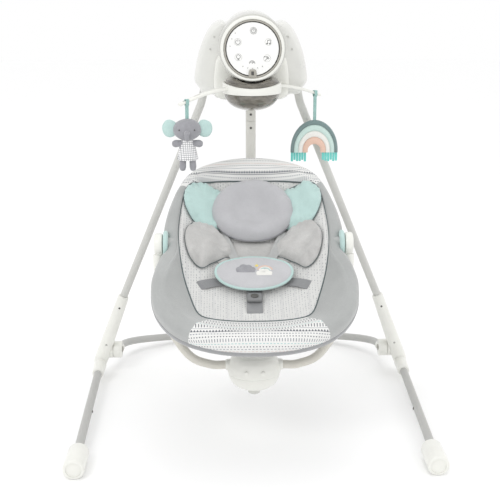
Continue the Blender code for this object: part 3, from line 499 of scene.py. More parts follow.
# ---- finished CAD nodes -------------------------------------------------------------
def soft_normals():
    """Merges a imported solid's split corners and smooths all but its sharp edges."""
    group = bpy.data.node_groups.new("soft_normals", "GeometryNodeTree")
    group.interface.new_socket("Geometry", in_out="INPUT", socket_type="NodeSocketGeometry")
    group.interface.new_socket("Geometry", in_out="OUTPUT", socket_type="NodeSocketGeometry")
    start, end = group.nodes.new("NodeGroupInput"), group.nodes.new("NodeGroupOutput")
    weld = group.nodes.new("GeometryNodeMergeByDistance")
    weld.inputs["Distance"].default_value = 1e-5
    angle = group.nodes.new("GeometryNodeInputMeshEdgeAngle")
    under = group.nodes.new("FunctionNodeCompare")
    under.data_type = "FLOAT"
    under.operation = "LESS_THAN"
    under.inputs[1].default_value = math.radians(36)
    faces = group.nodes.new("GeometryNodeSetShadeSmooth")
    edges = group.nodes.new("GeometryNodeSetShadeSmooth")
    edges.domain = "EDGE"
    join = group.links.new
    join(start.outputs[0], weld.inputs["Geometry"])
    join(weld.outputs["Geometry"], faces.inputs["Geometry"])
    join(faces.outputs["Geometry"], edges.inputs["Geometry"])
    join(angle.outputs["Unsigned Angle"], under.inputs[0])
    join(under.outputs["Result"], edges.inputs["Shade Smooth"])
    join(edges.outputs["Geometry"], end.inputs[0])
    return group


def finish_node(name, mat, group):
    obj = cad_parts[name]
    obj.data.materials.clear()
    obj.data.materials.append(mat)
    for poly in obj.data.polygons:
        poly.material_index = 0
    if "custom_normal" in obj.data.attributes:
        obj.data.attributes.remove(obj.data.attributes["custom_normal"])
    modifier = obj.modifiers.new("normals", "NODES")
    modifier.node_group = group
    bevel(obj, NODE_EDGE, 2, 40)
    obj.modifiers["edge"].harden_normals = False


# ---- dimensions shared with the solids ----------------------------------------------
PIVOT = Vector((0.0, 0.13, 0.800))
SWIVEL = (0.0, -0.20)
DIAL_Z, DIAL_Y = 0.838, -0.044
GLOBE = (0.0, 0.015)
LEG_R, ARM_R = 0.0095, 0.012
HEAD_HALF = [
    (0.0, 0.712), (0.050, 0.712), (0.080, 0.713), (0.090, 0.7205), (0.114, 0.7225),
    (0.122, 0.737), (0.132, 0.752), (0.1305, 0.778), (0.1205, 0.823), (0.105, 0.860),
    (0.089, 0.882), (0.072, 0.890), (0.0575, 0.8860), (0.040, 0.9009),
    (0.021, 0.9095), (0.0, 0.912),
]


# ---- motor head ---------------------------------------------------------------------
def head_outline(scale, y):
    half = HEAD_HALF + [(-x, z) for x, z in HEAD_HALF[::-1] if x > 1e-6]
    return [
        Vector((x * scale, y, 0.81 + (z - 0.81) * scale))
        for x, z in flat_curve(half, 5)
    ]


def head_shell(face_y, rim_y):
    inward = 1 if rim_y > face_y else -1
    domed = [(-0.0020, 0.25), (-0.0016, 0.55), (-0.0008, 0.78)]
    curve = [(0.0, 0.885), (0.0012, 0.918), (0.0040, 0.950), (0.0090, 0.976),
             (0.0160, 0.992), (0.0260, 1.0)]
    outer = [head_outline(s, face_y + inward * (d + 0.0021)) for d, s in domed + curve]
    outer += [head_outline(1.0, rim_y - inward * 0.0012), head_outline(0.996, rim_y)]
    inner = [head_outline(0.972, rim_y), head_outline(0.965, face_y + inward * 0.024),
             head_outline(0.90, face_y + inward * 0.008)]
    return loft(outer + inner)


def screw(name, x, y, z, radius, mat):
    """A screw head in its shallow recess, facing the front of the stand or head."""
    bm = turned(
        [(0, -0.0002), (radius * 0.25, -0.0002), (radius * 0.3, 0.0002), (radius * 0.85, -0.0001),
         (radius, 0.0003), (radius, 0.0012), (0, 0.0012)],
        24, axis="Y", at=(x, y, z),
    )
    return piece(name, bm, mat, "frame")


def leg_points(sign):
    places = ((0.102, 0.775), (0.117, 0.700), (0.350, 0.141))
    return bent_path([(sign * x, 0.13, z) for x, z in places], 0.12)


def motor_head(m):
    front = piece("head_front", head_shell(0.088, 0.1446), m["shell"], "frame",
                  ["housing_front"])
    rear = piece("head_rear", head_shell(0.200, 0.1450), m["shell"], "frame",
                 ["housing_rear"])
    for shell in (front, rear):
        boolean(shell, box((-0.040, 0.106, 0.700), (0.040, 0.156, 0.735)))
    for sign in SIDES.values():
        path = leg_points(sign)
        boolean(front, tube([path[0] + Vector((0, 0, 0.02))] + path[:14], LEG_R + 0.0014))
        x = sign * DOOR_X
        boolean(rear, box((x - 0.0225, 0.180, 0.7775), (x + 0.0225, 0.210, 0.8465)))
    for shell in (front, rear):
        reshade(shell)

    for side, sign in SIDES.items():
        x = sign * DOOR_X
        grip = box((x - 0.0215, 0.1950, 0.7785), (x + 0.0215, 0.1993, 0.8455))
        for k in range(4):
            z = 0.828 + k * 0.0035
            merge(grip, box((x - 0.012, 0.1990, z), (x + 0.012, 0.2001, z + 0.0016)))
        door = piece(f"battery_cover_{side}", grip, m["shell"], f"battery_door_{side}",
                     [f"battery_door_{side}"])
        bevel(door, 0.0006)
        for k, (x, y, z) in enumerate(((0.0850, 0.0874, 0.8555), (0.0945, 0.0874, 0.8275))):
            screw(f"head_screw_{side}_{k}", sign * x, y, z, 0.0022, m["drum"])
    vents = box((-0.030, 0.1990, 0.742), (0.030, 0.2004, 0.7440))
    for k in range(1, 6):
        merge(vents, box((-0.030, 0.1990, 0.742 + k * 0.006), (0.030, 0.2004, 0.744 + k * 0.006)))
    bevel(piece("rear_ribs", vents, m["shell"], "frame"), 0.0005)

    chin = []
    for y, s in ((0.0605, 0.80), (0.0608, 0.90), (0.0625, 0.965), (0.0660, 0.995), (0.0720, 1.0),
                 (0.0885, 1.0)):
        outline = flat_curve([
            (0.0, 0.7140), (0.045, 0.7140), (0.0700, 0.7155), (0.0830, 0.7260), (0.0865, 0.7450),
            (0.0850, 0.7800), (0.0760, 0.8120), (0.0400, 0.8250), (0.0, 0.8290),
            (-0.0400, 0.8250), (-0.0760, 0.8120), (-0.0850, 0.7800), (-0.0865, 0.7450),
            (-0.0830, 0.7260), (-0.0700, 0.7155), (-0.045, 0.7140),
        ], 4)
        chin.append([Vector((x * s, y, 0.765 + (z - 0.765) * s)) for x, z in outline])
    piece("head_chin", loft(chin), m["white"], "frame")
    screw("chin_screw", -0.0835, 0.0600, 0.7330, 0.0016, m["dark"])


def control_pod(m):
    front = DIAL_Y
    bezel = [
        (0.0630, front + 0.0075), (0.0630, front + 0.0016), (0.0636, front + 0.0006),
        (0.0652, front), (0.0668, front + 0.0001), (0.0682, front + 0.0008),
        (0.0694, front + 0.0028), (0.0702, front + 0.0070), (0.0706, front + 0.0150),
        (0.0706, front + 0.0205), (0.0640, front + 0.0205), (0.0640, front + 0.0075),
    ]
    piece("dial_bezel", turned(bezel, 128, True, "Y", (0, 0, DIAL_Z)), m["white"], "frame",
          ["dial_pod"])
    drum = [
        (0.0, -0.0232), (0.0700, -0.0232), (0.0722, -0.0226), (0.0738, -0.0208),
        (0.0745, -0.0180), (0.0745, 0.0350), (0.0745, 0.0850), (0.0735, 0.0874), (0.0, 0.0874),
    ]
    piece("dial_drum", turned(drum, 128, axis="Y", at=(0, 0, DIAL_Z)), m["drum"], "frame")
    ring = [
        (0.0592, front + 0.0020), (0.0592, front - 0.0001), (0.0597, front - 0.0006),
        (0.0619, front - 0.0006), (0.0626, front + 0.0001), (0.0626, front + 0.0065),
        (0.0592, front + 0.0065),
    ]
    bm = turned(ring, 128, True, "Y", (0, 0, DIAL_Z))
    tab = []
    for z, half, proud in ((-0.0610, 0.0080, 0.0010), (-0.0595, 0.0088, 0.0022),
                           (-0.0540, 0.0088, 0.0030), (-0.0475, 0.0078, 0.0030),
                           (-0.0445, 0.0066, 0.0024), (-0.0436, 0.0050, 0.0012)):
        y, back = front - proud, front + 0.0010
        tab.append([
            Vector((-half, back, DIAL_Z + z)), Vector((-half, y + 0.0008, DIAL_Z + z)),
            Vector((-half + 0.0008, y, DIAL_Z + z)), Vector((half - 0.0008, y, DIAL_Z + z)),
            Vector((half, y + 0.0008, DIAL_Z + z)), Vector((half, back, DIAL_Z + z)),
        ])
    merge(bm, loft(tab))
    piece("dial_ring", bm, m["taupe"], "speed_ring", ["speed_ring"], 32)
    grip = box((-0.0030, front - 0.0034, DIAL_Z - 0.0560),
               (0.0030, front - 0.0026, DIAL_Z - 0.0475))
    bevel(piece("dial_grip", grip, m["dark"], "speed_ring"), 0.0004)


def stroke(bm, points, width, y, closed=False):
    """A raised printed line through (x, z) points on the fascia."""
    points = [Vector(p) for p in points]
    count = len(points)
    left, right = [], []
    for i, p in enumerate(points):
        before = points[i - 1] if closed or i else p
        after = points[(i + 1) % count] if closed or i < count - 1 else p
        ahead = (after - before).normalized()
        side = Vector((-ahead.y, ahead.x)) * width / 2
        left.append(p + side)
        right.append(p - side)
    rows = []
    for a, b in zip(left, right):
        rows.append([bm.verts.new((q.x, level, q.y)) for q, level in
                     ((a, y), (b, y), (b, y + PRINT_DEPTH), (a, y + PRINT_DEPTH))])
    for i in range(count if closed else count - 1):
        row, following = rows[i], rows[(i + 1) % count]
        for k in range(4):
            after = (k + 1) % 4
            bm.faces.new((row[k], row[after], following[after], following[k]))
    if not closed:
        bm.faces.new(rows[0])
        bm.faces.new(rows[-1])


def arc(x, z, radius, start, end, steps=24, squash=1.0):
    turns = [math.radians(start + (end - start) * k / steps) for k in range(steps + 1)]
    return [(x + radius * math.cos(t), z + radius * squash * math.sin(t)) for t in turns]


def ring_of(x, z, radius, squash=1.0, steps=24):
    return arc(x, z, radius, 0, 360, steps, squash)[:-1]


def icons(m):
    """Generic line icons: timer, power, music, light, nature and a speed gauge."""
    y = DIAL_Y + 0.0010
    places = {
        "timer": (0.002, 0.0390), "power": (-0.0320, 0.0150), "music": (0.0345, 0.0150),
        "light": (-0.0310, -0.0175), "nature": (0.0315, -0.0200),
    }
    line = 0.0010
    for name, (x, dz) in places.items():
        z = DIAL_Z + dz
        bm = bmesh.new()
        if name == "timer":
            for k in range(12):
                t = 30 * k
                stroke(bm, arc(x, z, 0.0064, t - 9, t + 9, 3), line, y)
            stroke(bm, ring_of(x, z, 0.0042), line, y, True)
            stroke(bm, [(x, z + 0.0025), (x, z), (x + 0.0018, z - 0.0010)], line, y)
        elif name == "power":
            stroke(bm, arc(x, z, 0.0050, 120, 420, 24), line, y)
            stroke(bm, [(x, z + 0.0062), (x, z + 0.0010)], line, y)
        elif name == "music":
            for dx in (-0.0032, 0.0030):
                stroke(bm, ring_of(x + dx, z - 0.0036, 0.0013, 0.8, 12), 0.0014, y, True)
                stroke(bm, [(x + dx + 0.0014, z - 0.0034), (x + dx + 0.0014, z + 0.0040)], line, y)
            stroke(bm, [(x - 0.0018, z + 0.0036), (x + 0.0044, z + 0.0046)], 0.0013, y)
        elif name == "light":
            stroke(bm, arc(x, z + 0.0012, 0.0042, -50, 230, 24), line, y)
            for k, half in enumerate((0.0024, 0.0020, 0.0012)):
                low = z - 0.0028 - 0.0014 * k
                stroke(bm, [(x - half, low), (x + half, low)], line, y)
        else:
            stroke(bm, arc(x - 0.0010, z - 0.0010, 0.0048, 10, 100, 12), line, y)
            stroke(bm, arc(x + 0.0038, z + 0.0038, 0.0048, 190, 280, 12), line, y)
            stroke(bm, [(x - 0.0044, z - 0.0050), (x + 0.0022, z + 0.0022)], line, y)
            stroke(bm, arc(x - 0.0044, z + 0.0022, 0.0020, 200, 20, 10), line, y)
        piece(f"{name}_icon", bm, m["print"], f"{name}_button")
    bm = bmesh.new()
    x, z = -0.001, DIAL_Z - 0.0310
    stroke(bm, arc(x, z, 0.0060, -5, 185, 24), line, y)
    stroke(bm, arc(x, z, 0.0036, 20, 160, 16), line * 0.8, y)
    stroke(bm, [(x - 0.0004, z - 0.0004), (x + 0.0026, z + 0.0032)], line, y)
    for dx, dz in ((-0.0203, -0.0360), (-0.0100, -0.0394), (0.0003, -0.0404), (0.0106, -0.0394),
                   (0.0207, -0.0362)):
        lean = dx * 0.10
        stroke(bm, [(dx, DIAL_Z + dz), (dx + lean, DIAL_Z + dz - 0.0022)], line, y)
    for dx, dz in ((-0.0375, 0.034), (-0.045, 0.0216), (-0.049, 0.0063)):
        stroke(bm, ring_of(dx, DIAL_Z + dz, 0.0005, 1, 8), 0.0008, y, True)
    piece("dial_print", bm, m["print"], "frame")


def globe(m):
    lens = [
        (0.0, 0.6970), (0.0120, 0.6975), (0.0240, 0.6994), (0.0350, 0.7027), (0.0445, 0.7075),
        (0.0525, 0.7140), (0.0585, 0.7220), (0.0622, 0.7300), (0.0635, 0.7360), (0.0613, 0.7365),
        (0.0613, 0.7622), (0.0592, 0.7622), (0.0592, 0.7345), (0.0562, 0.7240), (0.0505, 0.7155),
        (0.0430, 0.7092), (0.0340, 0.7046), (0.0235, 0.7014), (0.0120, 0.6996), (0.0, 0.6991),
    ]
    piece("globe_bowl", turned(lens, 96, at=(*GLOBE, 0)), m["smoke"], "frame", ["globe_lens"])
    loops = []
    steps = 96
    for share in (1.0, 0.995, 0.96, 0.88, 0.76, 0.58, 0.34, 0.10):
        loop = []
        for k in range(steps):
            turn = math.tau * k / steps
            x, y = 0.0613 * share * math.cos(turn), 0.0613 * share * math.sin(turn)
            dome = 0.7632 + 0.0165 * math.sqrt(max(1 - share**2, 0.0))
            under = DIAL_Z - math.sqrt(0.0751**2 - x**2)
            loop.append(Vector((x, GLOBE[1] + y, min(dome, under))))
        loops.append(loop)
    base = [[Vector((p.x * s, GLOBE[1] + (p.y - GLOBE[1]) * s, 0.7626)) for p in loops[0]]
            for s in (0.1, 1.0)]
    piece("globe_crown", loft(base + loops), m["smoke"], "frame")
    lamps = bmesh.new()
    for k, (x, y) in enumerate(((-0.012, -0.020), (0.010, -0.022), (0.0, -0.006), (0.022, -0.010))):
        merge(lamps, turned([(0, 0.7475), (0.0030, 0.7475), (0.0030, 0.7440), (0.0016, 0.7420),
                             (0, 0.7414)], 20, at=(x, GLOBE[1] + y, 0)))
    piece("globe_lamps", lamps, m["lamp"], "frame")


# ---- toy bar ------------------------------------------------------------------------
BAR_YAW, BAR_REACH, TOY_AT = math.radians(27.5), 0.1795, 0.1655
STRAP_Y = 0.00575


def bar_line(reach):
    return 0.7490 - 0.0275 * (max(reach - 0.060, 0.0) / (BAR_REACH - 0.060)) ** 1.7


def on_bar(bm, heading):
    turn = Matrix.Translation((*GLOBE, 0)) @ Matrix.Rotation(heading, 4, "Z")
    bmesh.ops.transform(bm, matrix=turn, verts=bm.verts)
    return bm


def toy_bar(m):
    loops = []
    for k in range(96):
        angle = math.tau * k / 96
        out = Vector((math.cos(angle), math.sin(angle), 0))
        top = 0.7525 + 0.0085 * math.cos(angle) ** 2
        section = [
            (0.0620, 0.7370), (0.0650, 0.7370), (0.0661, 0.7374), (0.0665, 0.7386),
            (0.0665, top - 0.0016), (0.0661, top - 0.0004), (0.0650, top), (0.0620, top),
        ]
        loops.append([Vector((*GLOBE, z)) + out * r for r, z in section])
    bar = piece("toy_bar_body", loft(loops, around=True), m["white"], "toy_bar", ["toy_bar"])
    for heading in (BAR_YAW, BAR_YAW + math.pi):
        arm = []
        for k in range(23):
            along = min(k / 18, 1.0) if k < 19 else 1.0 + (k - 18) * 0.004
            tip = (1.0, 1.0, 0.97, 0.88, 0.62)[max(k - 18, 0)]
            reach = 0.0640 + (BAR_REACH - 0.0640) * along
            wide = (0.0065 + 0.0020 * smooth_step(along * 3)) * tip
            high = (0.0042 - 0.0012 * along) * tip
            middle = bar_line(reach)
            arm.append([
                Vector((reach, wide * squarish(math.cos(a), 0.35),
                        middle + high * squarish(math.sin(a), 0.5)))
                for a in (math.tau * (j + 0.5) / 24 for j in range(24))
            ])
        boolean(bar, on_bar(loft(arm), heading), "UNION")
        for start, end in ((TOY_AT - 0.0065, TOY_AT + 0.0065), (TOY_AT - 0.036, TOY_AT - 0.020)):
            boolean(bar, on_bar(box((start, -0.0030, 0.70), (end, 0.0030, 0.76)), heading))
    reshade(bar, 45)


def hang_point(name):
    heading, front = (BAR_YAW, -1) if name == "rainbow" else (BAR_YAW + math.pi, 1)
    y = front * STRAP_Y
    place = Matrix.Rotation(heading, 4, "Z") @ Vector((TOY_AT, y, 0))
    return heading, y, Vector((*GLOBE, bar_line(TOY_AT))) + place


def toy_strap(name, bottom, m):
    heading, y, at = hang_point(name)
    loop = [(-0.0045, 0.0052), (-0.0032, 0.0064), (0.0032, 0.0064), (0.0045, 0.0052),
            (0.0045, -0.0052), (0.0030, -0.0070), (0.0012, -0.0095), (0.0010, bottom - at.z),
            (-0.0010, bottom - at.z), (-0.0012, -0.0095), (-0.0030, -0.0070), (-0.0045, -0.0052)]
    inner = [(-0.0036, 0.0048), (-0.0028, 0.0054), (0.0028, 0.0054), (0.0036, 0.0048),
             (0.0036, -0.0046), (0.0024, -0.0060), (0.0004, -0.0078), (0.0002, -0.0082),
             (-0.0002, -0.0082), (-0.0004, -0.0078), (-0.0024, -0.0060), (-0.0036, -0.0046)]
    rows = []
    for half, points in ((-0.0038, inner), (-0.0038, loop), (0.0038, loop), (0.0038, inner)):
        rows.append([Vector((TOY_AT + half, y + dy, at.z + dz)) for dy, dz in points])
    bm = on_bar(loft(rows, around=True), heading)
    strap = piece(f"{name}_strap", bm, m["mint_web"], f"{name}_toy", angle=30)
    return at


# ---- soft toys ----------------------------------------------------------------------
def blob(centre, radii, sides=32, levels=20, seed=0.0, lump=0.0006):
    """A stuffed rounded form, slightly uneven like sewn plush."""
    profile = [
        (math.sin(math.pi * k / levels), -math.cos(math.pi * k / levels))
        for k in range(levels + 1)
    ]
    bm = turned(profile, sides)
    for vert in bm.verts:
        way = vert.co.copy()
        at = Vector((way.x * radii[0], way.y * radii[1], way.z * radii[2]))
        wave = noise.noise(at * 70 + Vector((seed, seed, seed)))
        at += way.normalized() * wave * lump
        vert.co = Vector(centre) + at
    return bm


def soft(name, bm, mat, body, replaces=()):
    obj = piece(name, bm, mat, body, replaces, 70)
    return obj


def elephant(m):
    at = toy_strap("elephant", 0.6900, m)
    x, y = at.x, at.y
    body = "elephant_toy"
    head = blob((x, y, 0.6665), (0.0315, 0.0220, 0.0240), 48, 32)
    merge(head, tube(curve_through([
        (x, y - 0.0180, 0.6620), (x, y - 0.0262, 0.6600), (x, y - 0.0290, 0.6530),
        (x + 0.0008, y - 0.0262, 0.6470)], 5),
        [0.0068, 0.0066, 0.0064, 0.0061, 0.0058, 0.0056, 0.0054, 0.0052, 0.0050, 0.0048,
         0.0046, 0.0044, 0.0043, 0.0041, 0.0039, 0.0037], 24, 0.003))
    soft("elephant_head", head, m["heather"], body, ["elephant_toy"])
    ears = bmesh.new()
    for sign in (-1, 1):
        merge(ears, blob((x + sign * 0.0380, y + 0.0010, 0.6690), (0.0172, 0.0058, 0.0198),
                         40, 24, sign * 3.0, 0.0012))
    soft("elephant_ears", ears, m["mint"], body)
    eyes = bmesh.new()
    for sign in (-1, 1):
        merge(eyes, blob((x + sign * 0.0165, y - 0.0188, 0.6680), (0.0018, 0.0012, 0.0018),
                         20, 14, 0.0, 0.0))
    piece("elephant_eyes", eyes, m["dark"], body)
    dress = [
        (0, 0.6030), (0.0150, 0.6020), (0.0196, 0.6000), (0.0212, 0.5994), (0.0220, 0.6008),
        (0.0216, 0.6060), (0.0200, 0.6140), (0.0180, 0.6240), (0.0158, 0.6340),
        (0.0138, 0.6420), (0.0115, 0.6470), (0, 0.6480),
    ]
    bm = turned(dress, 72)
    for vert in bm.verts:
        out = math.hypot(vert.co.x, vert.co.y)
        turn = math.atan2(vert.co.y, vert.co.x)
        flare = smooth_step((0.640 - vert.co.z) / 0.04) * smooth_step(out / 0.012)
        wave = 1 + 0.055 * flare * math.sin(9 * turn)
        vert.co = Vector((x + vert.co.x * wave * 1.02, y + vert.co.y * wave * 0.72, vert.co.z))
    soft("elephant_dress", bm, m["grid_cloth"], body)
    limbs = bmesh.new()
    for sign in (-1, 1):
        merge(limbs, tube(
            [(x + sign * d, y - 0.0015, 0.6370 - 0.10 * (d - 0.012)) for d in
             (0.010, 0.0145, 0.019, 0.0235, 0.028, 0.0310)],
            [0.0056, 0.0068, 0.0074, 0.0082, 0.0080, 0.0062], 24, 0.003))
        merge(limbs, tube(
            [(x + sign * 0.0100, y, 0.6080), (x + sign * 0.0106, y, 0.5990),
             (x + sign * 0.0112, y, 0.5900), (x + sign * 0.0114, y - 0.001, 0.5830),
             (x + sign * 0.0114, y - 0.001, 0.5785)],
            [0.0066, 0.0070, 0.0074, 0.0076, 0.0064], 24, 0.004))
    soft("elephant_limbs", limbs, m["heather"], body)


def arch_band(x, y, inner, outer, foot, half, lift=1.0):
    """A flat padded arch between two radii, with straight legs down to a foot."""
    def side(radius):
        rise = 0.0145 + (radius - 0.0150) * (0.0570 / 0.0410)
        arch = [(x + radius * math.cos(math.pi * k / 40),
                 0.5920 + rise * math.sin(math.pi * k / 40)) for k in range(41)]
        return [(x + radius, foot), *arch, (x - radius, foot)]

    width = outer - inner
    loops = []
    for share, depth in ((0.0, 0.35), (0.05, 0.75), (0.18, 1.0), (0.5, 1.0), (0.82, 1.0),
                         (0.95, 0.75), (1.0, 0.35)):
        loops.append([(p, depth) for p in side(inner + width * share)])
    for share, depth in ((1.0, -0.35), (0.95, -0.75), (0.5, -1.0), (0.05, -0.75), (0.0, -0.35)):
        loops.append([(p, depth) for p in side(inner + width * share)])
    count = len(loops[0])
    rows = [
        [Vector((loops[j][i][0][0], y - loops[j][i][1] * half * lift, loops[j][i][0][1]))
         for j in range(len(loops))]
        for i in range(count)
    ]
    return loft(rows)


def rainbow(m):
    at = toy_strap("rainbow", 0.6600, m)
    x, y = at.x, at.y
    body = "rainbow_toy"
    bands = (
        ("outer", 0.0482, 0.0560, "felt_moss", "dark_webbing", 1.0),
        ("pale", 0.0378, 0.0484, "pale_mint", "mint_fabric", 1.08),
        ("cream", 0.0272, 0.0380, "cream", "knit_fabric", 1.0),
        ("peach", 0.0150, 0.0274, "peach", "tummy_fabric", 1.08),
    )
    for k, (name, inner, outer, mat, slot, lift) in enumerate(bands):
        soft(f"rainbow_{name}", arch_band(x, y, inner, outer, 0.5870, 0.0055, lift), m[mat], body,
             ["rainbow_toy"] if k == 0 else ())
    fringe = bmesh.new()
    for sign in (-1, 1):
        for k in range(6):
            middle = sign * (0.0215 + k * 0.0062)
            low = 0.5665 + 0.0020 * math.sin(k * 2.3 + sign)
            strip = []
            for z, half in ((low, 0.0022), (low + 0.0006, 0.0026), (0.5800, 0.0028),
                            (0.5885, 0.0028)):
                sway = 0.0012 * math.sin(k * 1.7 + sign + (z - low) * 200)
                strip.append([Vector((x + middle + a * half, y + b * 0.0008 + sway, z))
                              for a, b in ((-1, -1), (1, -1), (1, 1), (-1, 1))])
            merge(fringe, loft(strip))
    soft("rainbow_fringe", fringe, m["turquoise"], body)


# ---- stand --------------------------------------------------------------------------
KNUCKLE = (0.145, 0.065)
KNUCKLE_R = 0.0215


def lower_leg_ends(sign):
    return Vector((sign * 0.384, 0.118, 0.036)), Vector((sign * 0.3755, -0.392, 0.0235))


def stand(m):
    for side, sign in SIDES.items():
        piece(f"leg_tube_{side}", tube(leg_points(sign), LEG_R, 40), m["tube"], "frame",
              [f"leg_upper_{side}"])
        rear, front = lower_leg_ends(sign)
        ahead = (front - rear).normalized()
        piece(f"floor_tube_{side}", tube([rear, rear.lerp(front, 0.5), front], LEG_R, 40),
              m["floor_tube"], "frame", [f"leg_lower_{side}"])
        top = Vector((sign * 0.3195, 0.13, 0.2145))
        bottom = Vector((sign * 0.3845, 0.13, 0.040))
        shares = [0.0, 0.006, 0.02, 0.06, 0.25, 0.5, 0.75, 0.95, 0.99, 1.03, 1.06, 1.078, 1.085]
        radii = [0.0122, 0.0132, 0.0137, 0.0139, 0.0147, 0.0156, 0.0165, 0.0172, 0.0171, 0.0158,
                 0.0135, 0.0108, 0.0088]
        path = [top.lerp(bottom, share) for share in shares]
        sleeve = piece(f"sleeve_{side}", tube(path, radii, 48), m["white"], "frame",
                       [f"leg_sleeve_{side}"])
        spout = [rear + ahead * d for d in (0.004, 0.030, 0.056, 0.0585, 0.0598, 0.0602)]
        boolean(sleeve, tube(spout, [0.0159, 0.0150, 0.0142, 0.0138, 0.0130, 0.0118], 48), "UNION")
        y, z = KNUCKLE
        boolean(sleeve, disc(KNUCKLE_R + 0.0008, *sorted((sign * 0.3250, sign * 0.3520)), "X",
                             (0, y, z)))
        boolean(sleeve, disc(KNUCKLE_R, *sorted((sign * 0.3520, sign * 0.3765)), "X", (0, y, z),
                             0.0018), "UNION")
        reshade(sleeve)
        for k, share in enumerate((0.16, 0.72)):
            spot = top.lerp(bottom, share)
            radius = 0.0139 + 0.0033 * share
            screw(f"sleeve_screw_{side}_{k}", spot.x, spot.y - radius - 0.0001, spot.z, 0.0026,
                  m["dark"])

        flat = math.radians(17)
        turns = [flat + (math.tau - 2 * flat) * k / 60 for k in range(61)]
        foot = []
        for depth, inset in ((0.0, 0.0030), (0.0006, 0.0014), (0.0020, 0.0003), (0.0040, 0.0),
                             (0.0400, 0.0), (0.0770, 0.0), (0.0785, 0.0004), (0.0795, 0.0013),
                             (0.0800, 0.0028)):
            radius = 0.0225 - inset
            foot.append([
                Vector((front.x + radius * math.sin(a), -0.405 + depth,
                        0.0225 * math.cos(flat) - radius * math.cos(a)))
                for a in turns
            ])
        foot = piece(f"foot_cap_{side}", loft(foot), m["white"], "frame", [f"foot_{side}"])
        hollow = disc(0.0165, -0.4060, -0.4020, "Y", (front.x, 0, 0.0225 * math.cos(flat)), 0.0008)
        boolean(foot, hollow)
        reshade(foot)

        middle = rear.lerp(front, 0.52)
        outer = sign * (abs(middle.x) - 0.0118)
        ends = sorted((outer + sign * 0.0006, outer + sign * 0.0058))
        piece(f"leg_button_{side}", disc(0.0030, *ends, "X", (0, middle.y, middle.z), 0.0010, 32),
              m["dark"], f"leg_snap_{side}", [f"leg_snap_{side}"])


def rear_bow(m):
    y, z = KNUCKLE
    reach = math.hypot(0.2505, 0.0555)
    fall = math.atan2(0.0555, 0.2505)
    half = [
        (0.3390, 0.0080), (0.3400, 0.055), (0.3260, 0.120), (0.2750, 0.174),
        (0.1450, 0.2340), (0.0, reach),
    ]
    plan = half + [(-x, t) for x, t in half[-2::-1]]
    route = [
        Vector((x, y + t * math.cos(fall), z - t * math.sin(fall)))
        for x, t, _ in curve_through([(*p, 0.0) for p in plan], 10)
    ]
    piece("bow_tube", tube(route, LEG_R, 40), m["floor_tube"], "rear_stand", ["rear_bow"])
    out = Vector((0, math.cos(fall), -math.sin(fall)))
    for side, sign in SIDES.items():
        body = disc(KNUCKLE_R, *sorted((sign * 0.3300, sign * 0.3517)), "X", (0, y, z), 0.0018)
        knuckle = piece(f"knuckle_{side}", body, m["white"], "rear_stand",
                        [f"bow_knuckle_{side}"])
        start = Vector((sign * 0.3390, y, z))
        stub = [start + out * d for d in (0.006, 0.020, 0.0325, 0.0338, 0.0344)]
        boolean(knuckle, tube(stub, [0.0124, 0.0122, 0.0122, 0.0117, 0.0105], 48), "UNION")
        boolean(knuckle, disc(0.0082, *sorted((sign * 0.3280, sign * 0.3308)), "X", (0, y, z)))
        reshade(knuckle)
        cap = disc(0.0077, *sorted((sign * 0.3282, sign * 0.3302)), "X", (0, y, z), 0.0008, 48)
        piece(f"fold_cap_{side}", cap, m["taupe"], f"fold_button_{side}",
              [f"fold_button_{side}"])


# ---- swing arm and seat base --------------------------------------------------------
def oval_stack(rows):
    """A turned-looking oval body from (height, half width, half depth) rows."""
    turns = [math.tau * k / 96 for k in range(96)]
    return loft([
        [(SWIVEL[0] + p.y * math.cos(t), SWIVEL[1] + p.z * math.sin(t), p.x) for t in turns]
        for p in curve_through(rows, 5)
    ])


